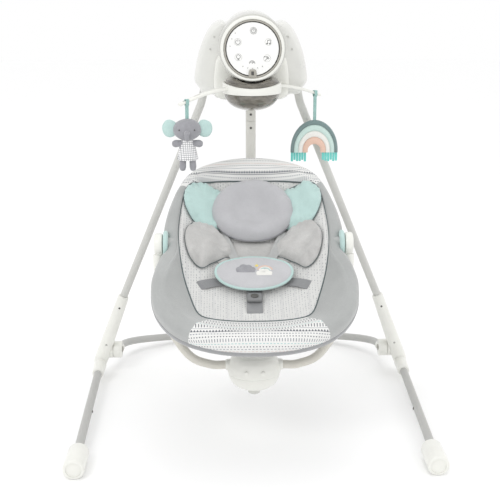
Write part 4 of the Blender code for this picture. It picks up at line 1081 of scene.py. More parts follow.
def swing_arm(m):
    upper = [(0, 0.13, 0.6563), (0, 0.13, 0.710), (0, 0.13, 0.768)]
    piece("arm_top_tube", tube(upper, ARM_R, 40), m["arm"], "swing_arm", ["arm_upper"])
    run = bent_path([(0, 0.13, 0.6557), (0, 0.13, 0.1295), (0, -0.184, 0.1295)], 0.10, 24)
    piece("arm_low_tube", tube(run, ARM_R, 40), m["arm"], "swing_arm", ["arm_lower"])
    for k, z in enumerate((0.6720, 0.6400)):
        body = disc(0.0028, 0.13 - ARM_R - 0.0012, 0.13 - ARM_R + 0.002, "Y", (0, 0, z), 0.0008, 28)
        piece(f"arm_snap_{k}", body, m["dark"], "swing_arm")
    lower = piece("hub_bottom", oval_stack([
        (0.1130, 0.0240, 0.0240), (0.1150, 0.0310, 0.0300), (0.1195, 0.0410, 0.0380),
        (0.1275, 0.0500, 0.0440), (0.1400, 0.0560, 0.0480), (0.1467, 0.0565, 0.0485),
    ]), m["white"], "swing_arm", ["hub_lower"])
    collar = [(0, y, 0.1295) for y in (-0.170, -0.150, -0.139, -0.1366, -0.1358)]
    boolean(lower, tube(collar, [0.0156, 0.0154, 0.0152, 0.0147, 0.0138], 48), "UNION")
    reshade(lower)
    knob = [
        (0, 0.0985), (0.0100, 0.0985), (0.0120, 0.0989), (0.0132, 0.1000), (0.0135, 0.1016),
        (0.0135, 0.1108), (0.0130, 0.1119), (0.0118, 0.1124), (0.0080, 0.1124), (0.0080, 0.1186),
        (0, 0.1186),
    ]
    # its grey material paints in the shade that falls under the hub
    piece("knob", turned(knob, 64, at=(*SWIVEL, 0)), m["knob"], "release_knob",
          ["release_knob"])

    upper = piece("hub_top", oval_stack([
        (0.1471, 0.0568, 0.0487), (0.1490, 0.0580, 0.0496), (0.1540, 0.0587, 0.0502),
        (0.1660, 0.0580, 0.0495), (0.1780, 0.0530, 0.0460), (0.1860, 0.0465, 0.0405),
        (0.1900, 0.0405, 0.0352), (0.1915, 0.0330, 0.0285),
    ]), m["white"], "seat_base", ["hub_upper"])
    for sign in (-1, 1):
        boss = [(sign * x, SWIVEL[1], 0.1655) for x in (0.030, 0.050, 0.0605, 0.0622, 0.0632)]
        boolean(upper, tube(boss, [0.0145, 0.0135, 0.0124, 0.0119, 0.0109], 48), "UNION")
    reshade(upper)
    for k, sign in enumerate((-1, 1)):
        body = disc(0.0042, SWIVEL[1] - 0.0500, SWIVEL[1] - 0.0410, "Y", (sign * 0.0180, 0, 0.1640),
                    0.0008, 32)
        piece(f"hub_plug_{k}", body, m["white"], "seat_base")


def support_path():
    half = [
        (0.0, 0.1655), (0.0600, 0.1655), (0.0980, 0.1670), (0.1440, 0.1880),
        (0.1880, 0.2560), (0.2050, 0.3350), (0.2085, 0.4080),
    ]
    whole = [(-x, z) for x, z in half[:0:-1]] + half
    lean = (-0.155 + 0.20) / (0.430 - 0.1655)
    return [
        Vector((p.x, -0.20 + lean * (p.y - 0.1655), p.y))
        for p in curve_through([(*q, 0.0) for q in whole], 9)
    ]


def seat_base(m):
    path = support_path()
    piece("support_tube", tube(path, LEG_R, 40), m["beige"], "seat_base", ["seat_support"])
    for side, sign in SIDES.items():
        at = (0, RECLINE.y, RECLINE.z)
        body = disc(0.0245, *sorted((sign * 0.1978, sign * 0.2160)), "X", at, 0.0050)
        hub = piece(f"pivot_cap_{side}", body, m["white"], "seat_base", [f"fork_hub_{side}"])
        ends = path[-6:] if sign > 0 else path[5::-1]
        boolean(hub, tube([ends[-1], ends[-4], ends[-5], ends[-5].lerp(ends[-6], 0.3)],
                          [0.0113, 0.0113, 0.0110, 0.0102], 48), "UNION")
        boolean(hub, disc(0.0050, *sorted((sign * 0.1880, sign * 0.1990)), "X", at, 0.0004, 32),
                "UNION")
        groove = turned([(0.0150, -0.0008), (0.0165, -0.0008), (0.0165, 0.0008),
                         (0.0150, 0.0008)], 64, True, "X", (sign * 0.2160, at[1], at[2]))
        boolean(hub, groove)
        reshade(hub)


# ---- seat shape ---------------------------------------------------------------------
RECLINE = Vector((0.0, -0.155, 0.430))
INCLINE = math.radians(30.8)
RISE = Vector((0.0, math.cos(INCLINE), math.sin(INCLINE)))
OUT = Vector((0.0, -math.sin(INCLINE), math.cos(INCLINE)))
BOWL_CENTRE = np.array((0.0, -0.030))
FABRIC_HALF = [  # half outlines: x, and distance up the incline from the recline axis
    (0.0, -0.285), (0.085, -0.277), (0.158, -0.247), (0.203, -0.193), (0.2165, -0.130),
    (0.2060, -0.076), (0.1880, -0.032), (0.1860, 0.030), (0.1820, 0.100), (0.1680, 0.172),
    (0.1370, 0.218), (0.0780, 0.241), (0.0, 0.249),
]
RIM_HALF = 0.0135  # from the ring's centreline out to the cover's outline
WING_SHARE = 0.40  # how much of WING_SPREAD the cover takes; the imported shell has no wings
WING_SPREAD = [  # how far the wings stand out past the rim, at places up the incline
    (-0.130, 0.0), (-0.110, 0.0050), (-0.085, 0.0105), (-0.065, 0.0170), (-0.050, 0.0215),
    (-0.040, 0.0190), (-0.033, 0.0110), (-0.024, 0.0040), (0.0, 0.0040), (0.020, 0.0050),
    (0.032, 0.0180), (0.042, 0.0265), (0.060, 0.0240), (0.080, 0.0195), (0.105, 0.0145),
    (0.140, 0.0055), (0.168, 0.0),
]
PAD_HALF = [
    (0.0, -0.188), (0.060, -0.188), (0.100, -0.186), (0.116, -0.178), (0.126, -0.158),
    (0.137, -0.122), (0.154, -0.066), (0.162, -0.018), (0.165, 0.035), (0.160, 0.110),
    (0.152, 0.150), (0.130, 0.176), (0.075, 0.187), (0.0, 0.189),
]


def whole(half):
    return half + [(-x, up) for x, up in half[::-1] if abs(x) > 1e-6]


def seat_point(x, up, out):
    return RECLINE + Vector((x, 0, 0)) + RISE * up + OUT * out


def rim_lift(x, up):
    return 0.020 * smooth_step((up - 0.10) / 0.13) * max(1 - (x / 0.17) ** 2, 0.0)


def ring_line():
    """The seat ring's centreline in the plane of the incline, and the way out from it."""
    points = flat_curve(whole(FABRIC_HALF))
    along = np.roll(points, -1, 0) - np.roll(points, 1, 0)
    outward = np.stack((along[:, 1], -along[:, 0]), 1)
    outward /= np.linalg.norm(outward, axis=1)[:, None]
    return points - RIM_HALF * outward, outward


def polar(line):
    """Angles and distances of an outline from the bowl's centre, in order."""
    offset = line - BOWL_CENTRE
    angles = np.arctan2(offset[:, 1], offset[:, 0])
    order = np.argsort(angles)
    return angles[order], np.hypot(*offset.T)[order]


LINE, OUTWARD = ring_line()
RING_POLAR = polar(LINE)
PAD_POLAR = polar(flat_curve(whole(PAD_HALF), 6))


def wing_spread(x, up):
    """How far the side wings stand out past the roll of the seat's rim."""
    table = flat_curve(WING_SPREAD, 4, False)
    order = np.argsort(table[:, 0])
    return WING_SHARE * float(np.interp(up, *table[order].T)) if abs(x) > 0.12 else 0.0


def reach(table, x, up):
    angle = math.atan2(up - BOWL_CENTRE[1], x - BOWL_CENTRE[0])
    return float(np.interp(angle, *table, period=math.tau))


def bowl_height(x, up):
    away = math.hypot(x - BOWL_CENTRE[0], up - BOWL_CENTRE[1])
    share = away / reach(RING_POLAR, x, up)
    depth = 0.072 - 0.028 * smooth_step((up - 0.01) / 0.19)
    return rim_lift(x, up) * share**2 - depth * (1 - min(share / 0.93, 1.0) ** 3.2)


def on_sling(x, up, lift):
    return seat_point(x, up, bowl_height(x, up) + lift)


def unit_noise(x, up, scale, seed=0.0):
    return noise.noise(Vector((x * scale, up * scale, seed)))


# ---- seat cover ---------------------------------------------------------------------
RECLINE_STEPS = (0, 5, 10, 14)  # degrees of recline at which the fork posts are cut clear


def fork_clearance(shell):
    """Cuts room in the cover for the pivots, and for the fork posts as the seat reclines."""
    at = (0, RECLINE.y, RECLINE.z)
    for sign in SIDES.values():
        boolean(shell, disc(0.0300, *sorted((sign * 0.1935, sign * 0.2600)), "X", at, 0.0025, 64))
        boolean(shell, disc(0.0158, *sorted((sign * 0.1835, sign * 0.2000)), "X", at, 0.0004, 48))
        for turn in RECLINE_STEPS:
            post = Vector((sign * 0.2085, *at[1:]))
            down = Vector((-sign * 0.003, -0.010, -0.060))
            down.rotate(Matrix.Rotation(math.radians(-turn), 3, "X"))
            boolean(shell, tube([post, post + down * 0.5, post + down], 0.0150, 40))


def notch_linings(m):
    """The padded rings round the pivots in the cover's side notches."""
    at = (0, RECLINE.y, RECLINE.z)
    for side, sign in SIDES.items():
        lining = [
            (0.0156, 0.1860), (0.0156, 0.1940), (0.0180, 0.1962), (0.0235, 0.1968),
            (0.0275, 0.1960), (0.0296, 0.1938), (0.0297, 0.1910), (0.0284, 0.1880),
            (0.0220, 0.1862),
        ]
        trim = turned([(r, sign * x) for r, x in lining], 64, True, "X", at)
        soft(f"notch_lining_{side}", trim, m["mint"], "seat")


def seat_cover(m):
    """The plush cover: hem band, roll over the ring, wings down to the pad, and its underside."""
    spread = [wing_spread(*p) for p in LINE]
    places, points = [], []

    def add(entries):
        places.append([place for place, _ in entries])
        points.append([point for _, point in entries])

    def round_ring(out, height, run, share=1.0):
        """A row round the rim; run is its distance over the roll, for the printed rows."""
        row = []
        for p, o, wide in zip(LINE, OUTWARD, spread):
            at = p + (out + share * wide) * o
            place = tuple(p + (run + share * wide) * o)
            row.append((place, seat_point(*at, rim_lift(*p) + height)))
        add(row)

    def inner_row(blend, lift, tuck=0.0):
        """A row from the ring (0) to the pad's edge (1), and on beyond it towards the middle."""
        row = []
        for p in LINE:
            away = p - BOWL_CENTRE
            far = float(np.hypot(*away))
            pad = reach(PAD_POLAR, *p) / far
            inset = 1 - 0.0075 / far
            share = inset + (pad - inset) * blend if tuck == 0 else pad * tuck
            x, up = BOWL_CENTRE + share * away
            puff = lift(x, up, blend)
            row.append(((x, up), on_sling(x, up, puff)))
        add(row)

    def plush(x, up, blend):
        crease = 0.0016 * unit_noise(x, up, 26.0) + 0.0008 * unit_noise(x, up, 70.0, 3.0)
        swell = 0.0045 * math.sin(math.pi * min(blend, 1.0))
        return 0.0142 - 0.0022 * blend + swell + crease * math.sin(math.pi * blend)

    inner_row(0, lambda x, up, b: 0.0030, 0.10)
    inner_row(0, lambda x, up, b: 0.0030, 0.55)
    inner_row(0, lambda x, up, b: 0.0030, 0.94)
    inner_row(1, lambda x, up, b: 0.0080, 0.995)
    for blend in (1.0, 0.96, 0.90, 0.80, 0.70, 0.60, 0.50, 0.40, 0.30, 0.20, 0.12, 0.05, 0.0):
        inner_row(blend, plush)
    inside = len(places) - 1
    for out, height, run, share in (
        (-0.0035, 0.0146, -0.0035, 0.0), (0.0, 0.0147, 0.0, 0.10), (0.0030, 0.0145, 0.0030, 0.35),
        (0.0060, 0.0136, 0.0063, 0.62), (0.0088, 0.0118, 0.0097, 0.84),
        (0.0118, 0.0082, 0.0144, 0.96), (0.0138, 0.0035, 0.0195, 1.0),
        (0.0147, -0.0025, 0.0256, 1.0), (0.0148, -0.0090, 0.0321, 1.0),
        (0.0145, -0.0150, 0.0381, 1.0),
    ):
        round_ring(out, height, run, share)
    band = len(places) - 1
    for out, height in ((0.0139, -0.0158), (0.0143, -0.0166), (0.0144, -0.0225),
                        (0.0140, -0.0278), (0.0130, -0.0288), (0.0112, -0.0288),
                        (0.0100, -0.0275)):
        round_ring(out, height, 0.0230 - height)
    hem = len(places) - 1
    for out, height, share in (
        (0.0104, -0.0150, 1.0), (0.0104, 0.0, 1.0), (0.0085, 0.0060, 0.9), (0.0045, 0.0092, 0.6),
        (0.0, 0.0100, 0.1), (-0.0055, 0.0085, 0.0), (-0.0094, 0.0030, 0.0),
        (-0.0110, -0.0020, 0.0),
    ):
        round_ring(out, height, out, share)
    for share in (0.90, 0.84, 0.74, 0.60, 0.42, 0.22, 0.08):
        row = []
        for p in LINE:
            x, up = BOWL_CENTRE + share * (p - BOWL_CENTRE)
            row.append(((x, up), on_sling(x, up, -0.0045)))
        add(row)

    def material_of(i, k):
        up = LINE[k][1]
        if band <= i < hem:
            return 2
        if i >= hem:
            return 3
        if i < 4:
            return 3
        return 1 if up > 0.170 or up < -0.242 else 0

    bm = loft(points, mat_of=material_of, print_of=lambda i, k: places[i][k])
    mats = [m["plush"], m["border"], m["rim"], m["under"]]
    shell = piece("seat_cover", bm, mats, "seat", ["seat_shell"], 70)
    fork_clearance(shell)
    reshade(shell, 70)
    notch_linings(m)
    cord = [point + OUT * 0.0008 for point in points[inside - 12]]
    soft("pad_piping", cord_loop(cord, 0.0014, 12), m["moss"], "seat")
    edge = [
        seat_point(*(p + (0.0146 + wide) * o), rim_lift(*p) - 0.0156)
        for p, o, wide in zip(LINE, OUTWARD, spread)
    ]
    soft("hem_piping", cord_loop(edge, 0.0011, 10), m["rim"], "seat")


# ---- cushions -----------------------------------------------------------------------
PUFFY = ((0.06, 1.0), (0.22, 0.99), (0.40, 0.96), (0.56, 0.90), (0.70, 0.81), (0.81, 0.69),
         (0.89, 0.56), (0.95, 0.42), (0.985, 0.30), (1.0, 0.20))


def cushion_mesh(outline, centre, base, thickness, crown=PUFFY, per_span=6, gather=0.0, rough=0.0):
    """A stuffed pad on the sling with a rounded edge, gathered slightly along its seam."""
    centre = np.array(centre)
    line = flat_curve(outline, per_span) if per_span else np.array(outline)
    places, points = [], []
    turns = np.arctan2(*(line - centre).T[::-1])

    def thick(x, up):
        return thickness(x, up) if callable(thickness) else thickness

    for share in (0.06, 0.40, 0.75, 0.93, 0.985):
        row = [tuple(centre + share * (p - centre)) for p in line]
        places.append(row)
        points.append([on_sling(x, up, base) for x, up in row])
    for share, height in crown[::-1]:
        row = [tuple(centre + share * (p - centre)) for p in line]
        places.append(row)
        rise = []
        for k, (x, up) in enumerate(row):
            pucker = gather * max(share - 0.55, 0) / 0.45 * math.sin(turns[k] * 23 + 3 * share)
            wave = rough * unit_noise(x, up, 45.0, base * 100)
            lift = thick(x, up) * (height + (pucker + wave) * min(height, 1.4 - height) * 2)
            rise.append(on_sling(x, up, base + max(lift, 0.0008)))
        points.append(rise)
    return loft(points, print_of=lambda i, k: places[i][k]), line


def edge_cord(name, line, lift, radius, mat):
    path = [on_sling(x, up, lift(x, up) if callable(lift) else lift) for x, up in line]
    return soft(name, cord_loop(path, radius, 12), mat, "seat")


def patch(outline, centre, surface):
    """A flat shape laid on a cushion, following its surface."""
    centre = np.array(centre)
    shares = (0.05, 0.35, 0.62, 0.85, 1.0)
    rows = []
    for side, height in ((1, 0.0007), (-1, -0.0006)):
        for share in shares[::side]:
            row = []
            for p in outline:
                x, up = centre + share * (np.array(p) - centre)
                start = seat_point(x, up, 0.15)
                hit, _, _, _ = surface.ray_cast(start, -OUT)
                place = hit or on_sling(x, up, 0.02)
                inset = 0.6 if share == 1.0 and side > 0 else 1.0
                row.append(place + OUT * height * inset)
            rows.append(row)
    return loft(rows)


def mirrored_cushions(m, name, outline, centre, height, gather, rough, seam, finish):
    """A cushion each side of the middle, piped round its seam; the left one hides the node."""
    look, node, slot, fill = finish
    for side, sign in SIDES.items():
        shape = [(sign * x, up) for x, up in outline]
        bm, line = cushion_mesh(shape, (sign * centre[0], centre[1]), 0.0135, height,
                                gather=gather, rough=rough)
        soft(f"{name}_{side}", bm, m[look], "seat", [node] if sign < 0 else ())
        edge_cord(f"{name}_piping_{side}", line, seam, 0.0011, m["moss"])


def oval_outline(half_x, half_up, up):
    turns = [math.tau * k / 96 for k in range(96)]
    return [(half_x * math.cos(t), up + half_up * math.sin(t)) for t in turns]


def cushions(m):
    pad, _ = cushion_mesh(
        whole(PAD_HALF), (0.0, -0.030), 0.0035,
        lambda x, up: 0.0085 - 0.0022 * math.exp(-(((abs(x) - 0.098) / 0.006) ** 2)),
        ((0.05, 1.0), (0.15, 1.0), (0.25, 1.0), (0.35, 1.0), (0.44, 1.0), (0.52, 1.0), (0.59, 1.0),
         (0.65, 1.0), (0.71, 1.0), (0.77, 1.0), (0.83, 1.0), (0.89, 1.0), (0.94, 1.0),
         (0.97, 0.98), (0.99, 0.93), (1.0, 0.80)), rough=0.10,
    )
    soft("pad", pad, m["knit"], "seat", ["seat_pad"])

    lobe = [
        (0.050, 0.040), (0.072, 0.066), (0.100, 0.086), (0.130, 0.078), (0.147, 0.046),
        (0.149, 0.006), (0.137, -0.030), (0.114, -0.040), (0.092, -0.018), (0.066, 0.004),
        (0.050, 0.012),
    ]
    mirrored_cushions(m, "body_lobe", lobe, (0.104, 0.026), 0.0245, 0.07, 0.34, 0.0172,
                      ("fluffy", "body_support", "grey_plush", 0.7))
    web = [(-0.070, -0.016), (0.070, -0.016), (0.072, 0.046), (-0.072, 0.046)]
    bm, _ = cushion_mesh(web, (0.0, 0.016), 0.0135, 0.0048)
    soft("body_web", bm, m["fluffy"], "seat")

    ear = [
        (0.050, 0.146), (0.066, 0.160), (0.092, 0.170), (0.120, 0.176), (0.144, 0.167),
        (0.155, 0.139), (0.151, 0.106), (0.133, 0.079), (0.108, 0.070), (0.080, 0.076),
        (0.052, 0.098), (0.046, 0.125),
    ]
    mirrored_cushions(m, "head_wing", ear, (0.104, 0.124), 0.0235, 0.12, 0.42, 0.0176,
                      ("mint", "headrest_ears", "mint_fabric", 0.75))

    ring = oval_outline(0.0925, 0.0665, 0.112)
    bowl = ((0.06, 0.50), (0.16, 0.50), (0.27, 0.53), (0.38, 0.61), (0.48, 0.73), (0.57, 0.86),
            (0.65, 0.95), (0.73, 1.0), (0.81, 0.98), (0.88, 0.88), (0.935, 0.72), (0.975, 0.52),
            (0.993, 0.38), (1.0, 0.28))
    bm, line = cushion_mesh(ring, (0.0, 0.112), 0.0245, 0.0245, bowl, 0, 0.03, 0.12)
    soft("pillow", bm, m["pillow"], "seat", ["head_pillow"])
    edge_cord("pillow_piping", line, 0.0285, 0.0015, m["pillow_edge"])


def band(points, width, thickness):
    """A strap of webbing on the sling through (x, up, lift) points."""
    columns = 6
    line = curve_through(points, 8)
    rows, places = [], []
    run = 0.0
    for i, p in enumerate(line):
        ahead = line[min(i + 1, len(line) - 1)] - line[max(i - 1, 0)]
        side = Vector((-ahead.y, ahead.x)).normalized() * width / 2
        run += (line[i] - line[max(i - 1, 0)]).length
        top, bottom = [], []
        for k in range(columns + 1):
            t = 2 * k / columns - 1
            thin = thickness * (0.55 if abs(t) == 1 else 1.0)
            x, up = p.x + side.x * t, p.y + side.y * t
            bottom.append(on_sling(x, up, p.z + (thickness - thin) / 2))
            top.append(on_sling(x, up, p.z + (thickness + thin) / 2))
        rows.append(bottom + top[::-1])
        across = [(width * k / columns, run) for k in range(columns + 1)]
        places.append(across + across[::-1])
    return loft(rows, print_of=lambda i, k: places[i][k])


def star(x, up, radius):
    return [(x + radius * (1.0 if k % 2 == 0 else 0.48) * math.sin(math.pi * k / 5),
             up + radius * (1.0 if k % 2 == 0 else 0.48) * math.cos(math.pi * k / 5))
            for k in range(10)]


def cloud(x, up, size):
    puffs = ((-0.62, 0.0, 0.42), (-0.22, 0.30, 0.46), (0.26, 0.26, 0.44), (0.66, 0.0, 0.38))
    outline = [(x - size * 0.95, up - size * 0.34)]
    for px, pz, r in puffs:
        for k in range(7):
            turn = math.radians(170 - 160 * k / 6)
            outline.append((x + size * (px + r * math.cos(turn)),
                            up + size * (pz + r * math.sin(turn))))
    outline.append((x + size * 0.95, up - size * 0.34))
    return outline


def harness(m):
    over, low = 0.0222, 0.0150
    for side, sign in SIDES.items():
        points = [(0.0720, 0.0700, 0.0195), (0.0600, 0.0450, over + 0.002), (0.0460, 0.0120, over),
                  (0.0320, -0.0200, over), (0.0180, -0.0460, over)]
        strap = band([(sign * x, up, lift) for x, up, lift in points], 0.020, 0.0018)
        soft(f"shoulder_strap_{side}", strap, m["webbing"], "seat",
             ["shoulder_harness"] if sign < 0 else ())
    half = [(0.1230, -0.0860, 0.0075), (0.1130, -0.0800, 0.0125), (0.0850, -0.0680, low),
            (0.0400, -0.0600, low)]
    waist = half + [(0.0, -0.0580, low)] + [(-x, up, lift) for x, up, lift in half[::-1]]
    soft("waist_strap", band(waist, 0.022, 0.0020), m["dark_webbing"], "seat", ["lower_harness"])
    crotch = [(0, -0.060, low + 0.001), (0, -0.105, low + 0.001), (0, -0.135, low),
              (0, -0.152, 0.0125), (0, -0.160, 0.0070)]
    soft("crotch_strap", band(crotch, 0.034, 0.0026), m["dark_webbing"], "seat")
    rows = []
    for inset, lift in ((0.0010, 0.0), (0.0, 0.0010), (0.0, 0.0062), (0.0012, 0.0078),
                        (0.0034, 0.0086), (0.0070, 0.0088)):
        row = []
        for k in range(32):
            a = math.tau * (k + 0.5) / 32
            x = (0.0175 - inset) * squarish(math.cos(a), 0.45)
            up = -0.115 + (0.0135 - inset) * squarish(math.sin(a), 0.45)
            row.append(on_sling(float(x), float(up), low + 0.0036 + lift))
        rows.append(row)
    piece("buckle_body", loft(rows), m["moulding"], "seat", ["buckle"])
    press = []
    for inset, lift in ((0.0, 0.0080), (0.0, 0.0096), (0.0008, 0.0102), (0.0030, 0.0104)):
        press.append([
            on_sling((0.0085 - inset) * math.cos(a), -0.114 + (0.0062 - inset) * math.sin(a),
                     low + 0.0036 + lift)
            for a in (math.tau * k / 32 for k in range(32))
        ])
    piece("buckle_press", loft(press), m["dark"], "seat")


def tummy(m):
    oval = oval_outline(0.0835, 0.0470, -0.050)
    crown = ((0.05, 1.0), (0.30, 0.99), (0.55, 0.95), (0.74, 0.88), (0.86, 0.79), (0.93, 0.66),
             (0.975, 0.50), (1.0, 0.32))
    bm, line = cushion_mesh(oval, (0.0, -0.050), 0.0262, 0.0120, crown, 0, 0.02, 0.05)
    pad = soft("tummy_front", bm, m["lilac"], "seat", ["tummy_pad"])
    edge_cord("tummy_binding", line, 0.0302, 0.0030, m["mint"])
    surface = surface_of(pad)
    for name, outline, centre, mat, slot in (
        ("cloud_grey", cloud(-0.018, -0.046, 0.021), (-0.018, -0.046), "heather", "grey_plush"),
        ("cloud_white", cloud(0.022, -0.056, 0.017), (0.022, -0.054), "cream", "knit_fabric"),
        ("star", star(0.006, -0.034, 0.0052), (0.006, -0.034), "yellow", "tummy_fabric"),
    ):
        soft(f"tummy_{name}", patch(outline, centre, surface), m[mat], "seat")
    for k, (radius, mat) in enumerate(((0.0170, "peach"), (0.0138, "cream"), (0.0106, "mint"))):
        rows = []
        for j in range(25):
            a = math.radians(20 + 140 * j / 24)
            row = []
            for r, lift in ((radius - 0.0012, -0.0004), (radius + 0.0012, -0.0004),
                            (radius + 0.0012, 0.0006), (radius - 0.0012, 0.0006)):
                x, up = 0.024 + r * math.cos(a), -0.052 + r * math.sin(a)
                hit, _, _, _ = surface.ray_cast(seat_point(x, up, 0.15), -OUT)
                row.append((hit or on_sling(x, up, 0.03)) + OUT * lift)
            rows.append(row)
        soft(f"tummy_arc_{k}", loft(rows), m[mat], "seat")


# ---- printed cloths -----------------------------------------------------------------
def lin(red, green, blue):
    """A display colour of 0-255 as the scene-linear one the shader takes."""
    return tuple(
        c / 12.92 if c <= 0.04045 else ((c + 0.055) / 1.055) ** 2.4
        for c in (red / 255, green / 255, blue / 255)
    )


def print_place(g):
    made = g.node("ShaderNodeUVMap")
    made.uv_map = "print"
    x, up, _ = g.split(made.outputs[0])
    return made.outputs[0], x, up


def repeat(g, value, pitch, shift=0.0):
    """Distance from the nearest repeat of a mark, signed."""
    phase = g.math("FRACT", g.math("ADD", g.math("DIVIDE", value, pitch), 0.5 + shift))
    return g.math("MULTIPLY", g.math("SUBTRACT", phase, 0.5), pitch)


def within(g, value, half):
    soft_edge = 0.0002
    return g.spread(g.math("ABSOLUTE", value), half + soft_edge, half - soft_edge)


def mark(g, x, up, kind, at, size, pitch):
    """Mask of one printed row: lines, dashes, strokes, dots or triangles."""
    rise = g.math("SUBTRACT", up, at)
    if kind == "line":
        return within(g, rise, size / 2)
    run = repeat(g, x, pitch)
    if kind == "dot":
        away = g.math("SQRT", g.math("ADD", g.math("MULTIPLY", run, run),
                                     g.math("MULTIPLY", rise, rise)))
        return within(g, away, size / 2)
    if kind == "triangle":
        taper = g.math("MULTIPLY", g.math("SUBTRACT", size / 2, rise), 0.55)
        side = g.math("SUBTRACT", taper, g.math("ABSOLUTE", run))
        inside = g.spread(side, -0.0002, 0.0002)
    else:
        inside = within(g, run, pitch * (0.30 if kind == "dash" else 0.16))
    return g.math("MULTIPLY", within(g, rise, size / 2), inside)


def knit_bump(g, x, up):
    """Vertical wales and the courses across them."""
    pitch = 0.0019
    wale = g.math("SINE", g.math("MULTIPLY", x, math.tau / pitch))
    course = g.math("SINE", g.math("MULTIPLY", up, math.tau / (pitch * 0.75)))
    g.bump(g.math("ADD", g.math("ABSOLUTE", wale), g.math("MULTIPLY", course, 0.35)), 0.0003, 0.6)


def border_cloth():
    base = lin(236, 236, 234)
    ink, mid, pale = lin(96, 99, 108), lin(142, 145, 153), lin(222, 206, 200)
    aqua = lin(176, 206, 204)
    rows = (
        ("dash", 0.2560, 0.0018, 0.0060, mid), ("dot", 0.2480, 0.0024, 0.0056, mid),
        ("dash", 0.2400, 0.0020, 0.0060, ink), ("dot", 0.2320, 0.0028, 0.0064, mid),
        ("dash", 0.2240, 0.0028, 0.0070, pale), ("dot", 0.2165, 0.0024, 0.0050, ink),
        ("line", 0.2110, 0.0009, 1.0, mid), ("triangle", 0.2045, 0.0052, 0.0058, ink),
        ("line", 0.2000, 0.0010, 1.0, ink), ("dot", 0.1945, 0.0022, 0.0052, mid),
        ("stroke", 0.1865, 0.0075, 0.0046, mid), ("dash", 0.1785, 0.0020, 0.0054, ink),
        ("line", -0.1950, 0.0010, 1.0, mid), ("triangle", -0.2000, 0.0048, 0.0058, ink),
        ("dash", -0.2070, 0.0022, 0.0058, mid), ("stroke", -0.2160, 0.0080, 0.0056, ink),
        ("line", -0.2235, 0.0010, 1.0, mid), ("dash", -0.2295, 0.0026, 0.0066, aqua),
        ("stroke", -0.2385, 0.0085, 0.0058, ink), ("line", -0.2460, 0.0010, 1.0, mid),
        ("triangle", -0.2520, 0.0056, 0.0062, ink), ("dash", -0.2595, 0.0020, 0.0060, mid),
        ("dot", -0.2665, 0.0028, 0.0060, ink), ("stroke", -0.2750, 0.0070, 0.0056, mid),
        ("dash", -0.2830, 0.0020, 0.0070, aqua), ("dot", -0.2900, 0.0028, 0.0064, ink),
        ("dash", -0.2970, 0.0020, 0.0075, mid), ("dash", -0.3040, 0.0020, 0.0080, pale),
    )
    g = Graph("border_cloth", base, 0.9, sheen_weight=0.2)
    _, x, up = print_place(g)
    drift = g.math("MULTIPLY", g.math("SUBTRACT", g.noise(g.coords(), 18.0), 0.5), 0.0014)
    wavy = g.math("ADD", up, drift)
    colour = g.mix(g.noise(g.coords(), 30.0, 3.0), shade(base, 0.94), shade(base, 1.03))
    for kind, at, size, pitch, tone in rows:
        colour = g.mix(mark(g, x, wavy, kind, at, size, pitch), colour, tone)
    g.colour(colour)
    knit_bump(g, x, up)
    return g.mat


def pad_cloth():
    """Light knit with columns of small grey flecks."""
    base, grey = lin(226, 226, 224), lin(168, 169, 172)
    g = Graph("pad_cloth", base, 0.92, sheen_weight=0.2)
    uv, x, up = print_place(g)
    column = g.math("FLOOR", g.math("DIVIDE", x, 0.0058))
    offset = g.math("MULTIPLY", column, 0.00347)
    run = repeat(g, x, 0.0058, 0.5)
    rise = repeat(g, g.math("ADD", up, offset), 0.0064)
    fleck = g.math("MULTIPLY", within(g, run, 0.0008), within(g, rise, 0.0019))
    worn = g.spread(g.noise(uv, 220.0), 0.40, 0.56)
    fleck = g.math("MULTIPLY", fleck, worn)
    pairs = repeat(g, x, 0.0290)
    line = g.math("MULTIPLY", within(g, pairs, 0.0006), 0.55)
    colour = g.mix(g.noise(g.coords(), 24.0, 3.0), shade(base, 0.92), shade(base, 1.03))
    colour = g.mix(line, colour, shade(grey, 1.2))
    g.colour(g.mix(fleck, colour, grey))
    knit_bump(g, x, up)
    return g.mat


def grid_cloth():
    """White cloth with a fine grey window check."""
    g = Graph("grid_cloth", lin(240, 240, 240), 0.9, sheen_weight=0.15)
    x, y, z = g.split(g.coords())
    around = g.math("ADD", x, g.math("MULTIPLY", y, 0.4))
    bars = g.math("MAXIMUM", within(g, repeat(g, around, 0.0046), 0.00042),
                  within(g, repeat(g, z, 0.0046), 0.00042))
    colour = g.mix(g.noise(g.coords(), 60.0), lin(232, 232, 232), lin(246, 246, 246))
    g.colour(g.mix(bars, colour, lin(128, 130, 136)))
    g.bump(g.noise(g.coords(), 1600.0), 0.0002, 0.5)
    return g.mat


def webbing_cloth(name, colour):
    """Woven strap: twill ribs across."""
    g = Graph(name, colour, 0.75, sheen_weight=0.2)
    _, x, up = print_place(g)
    rib = g.math("SINE", g.math("MULTIPLY", g.math("ADD", x, up), math.tau / 0.0016))
    cross = g.math("SINE", g.math("MULTIPLY", g.math("SUBTRACT", up, x), math.tau / 0.0024))
    weave = g.math("ADD", rib, g.math("MULTIPLY", cross, 0.5))
    tone = g.math("ADD", g.math("MULTIPLY", weave, 0.15), g.noise(g.coords(), 50.0, 3.0))
    g.colour(g.mix(g.spread(tone, 0.2, 0.8), shade(colour, 0.86), shade(colour, 1.08)))
    g.bump(weave, 0.0002, 0.7)
    return g.mat


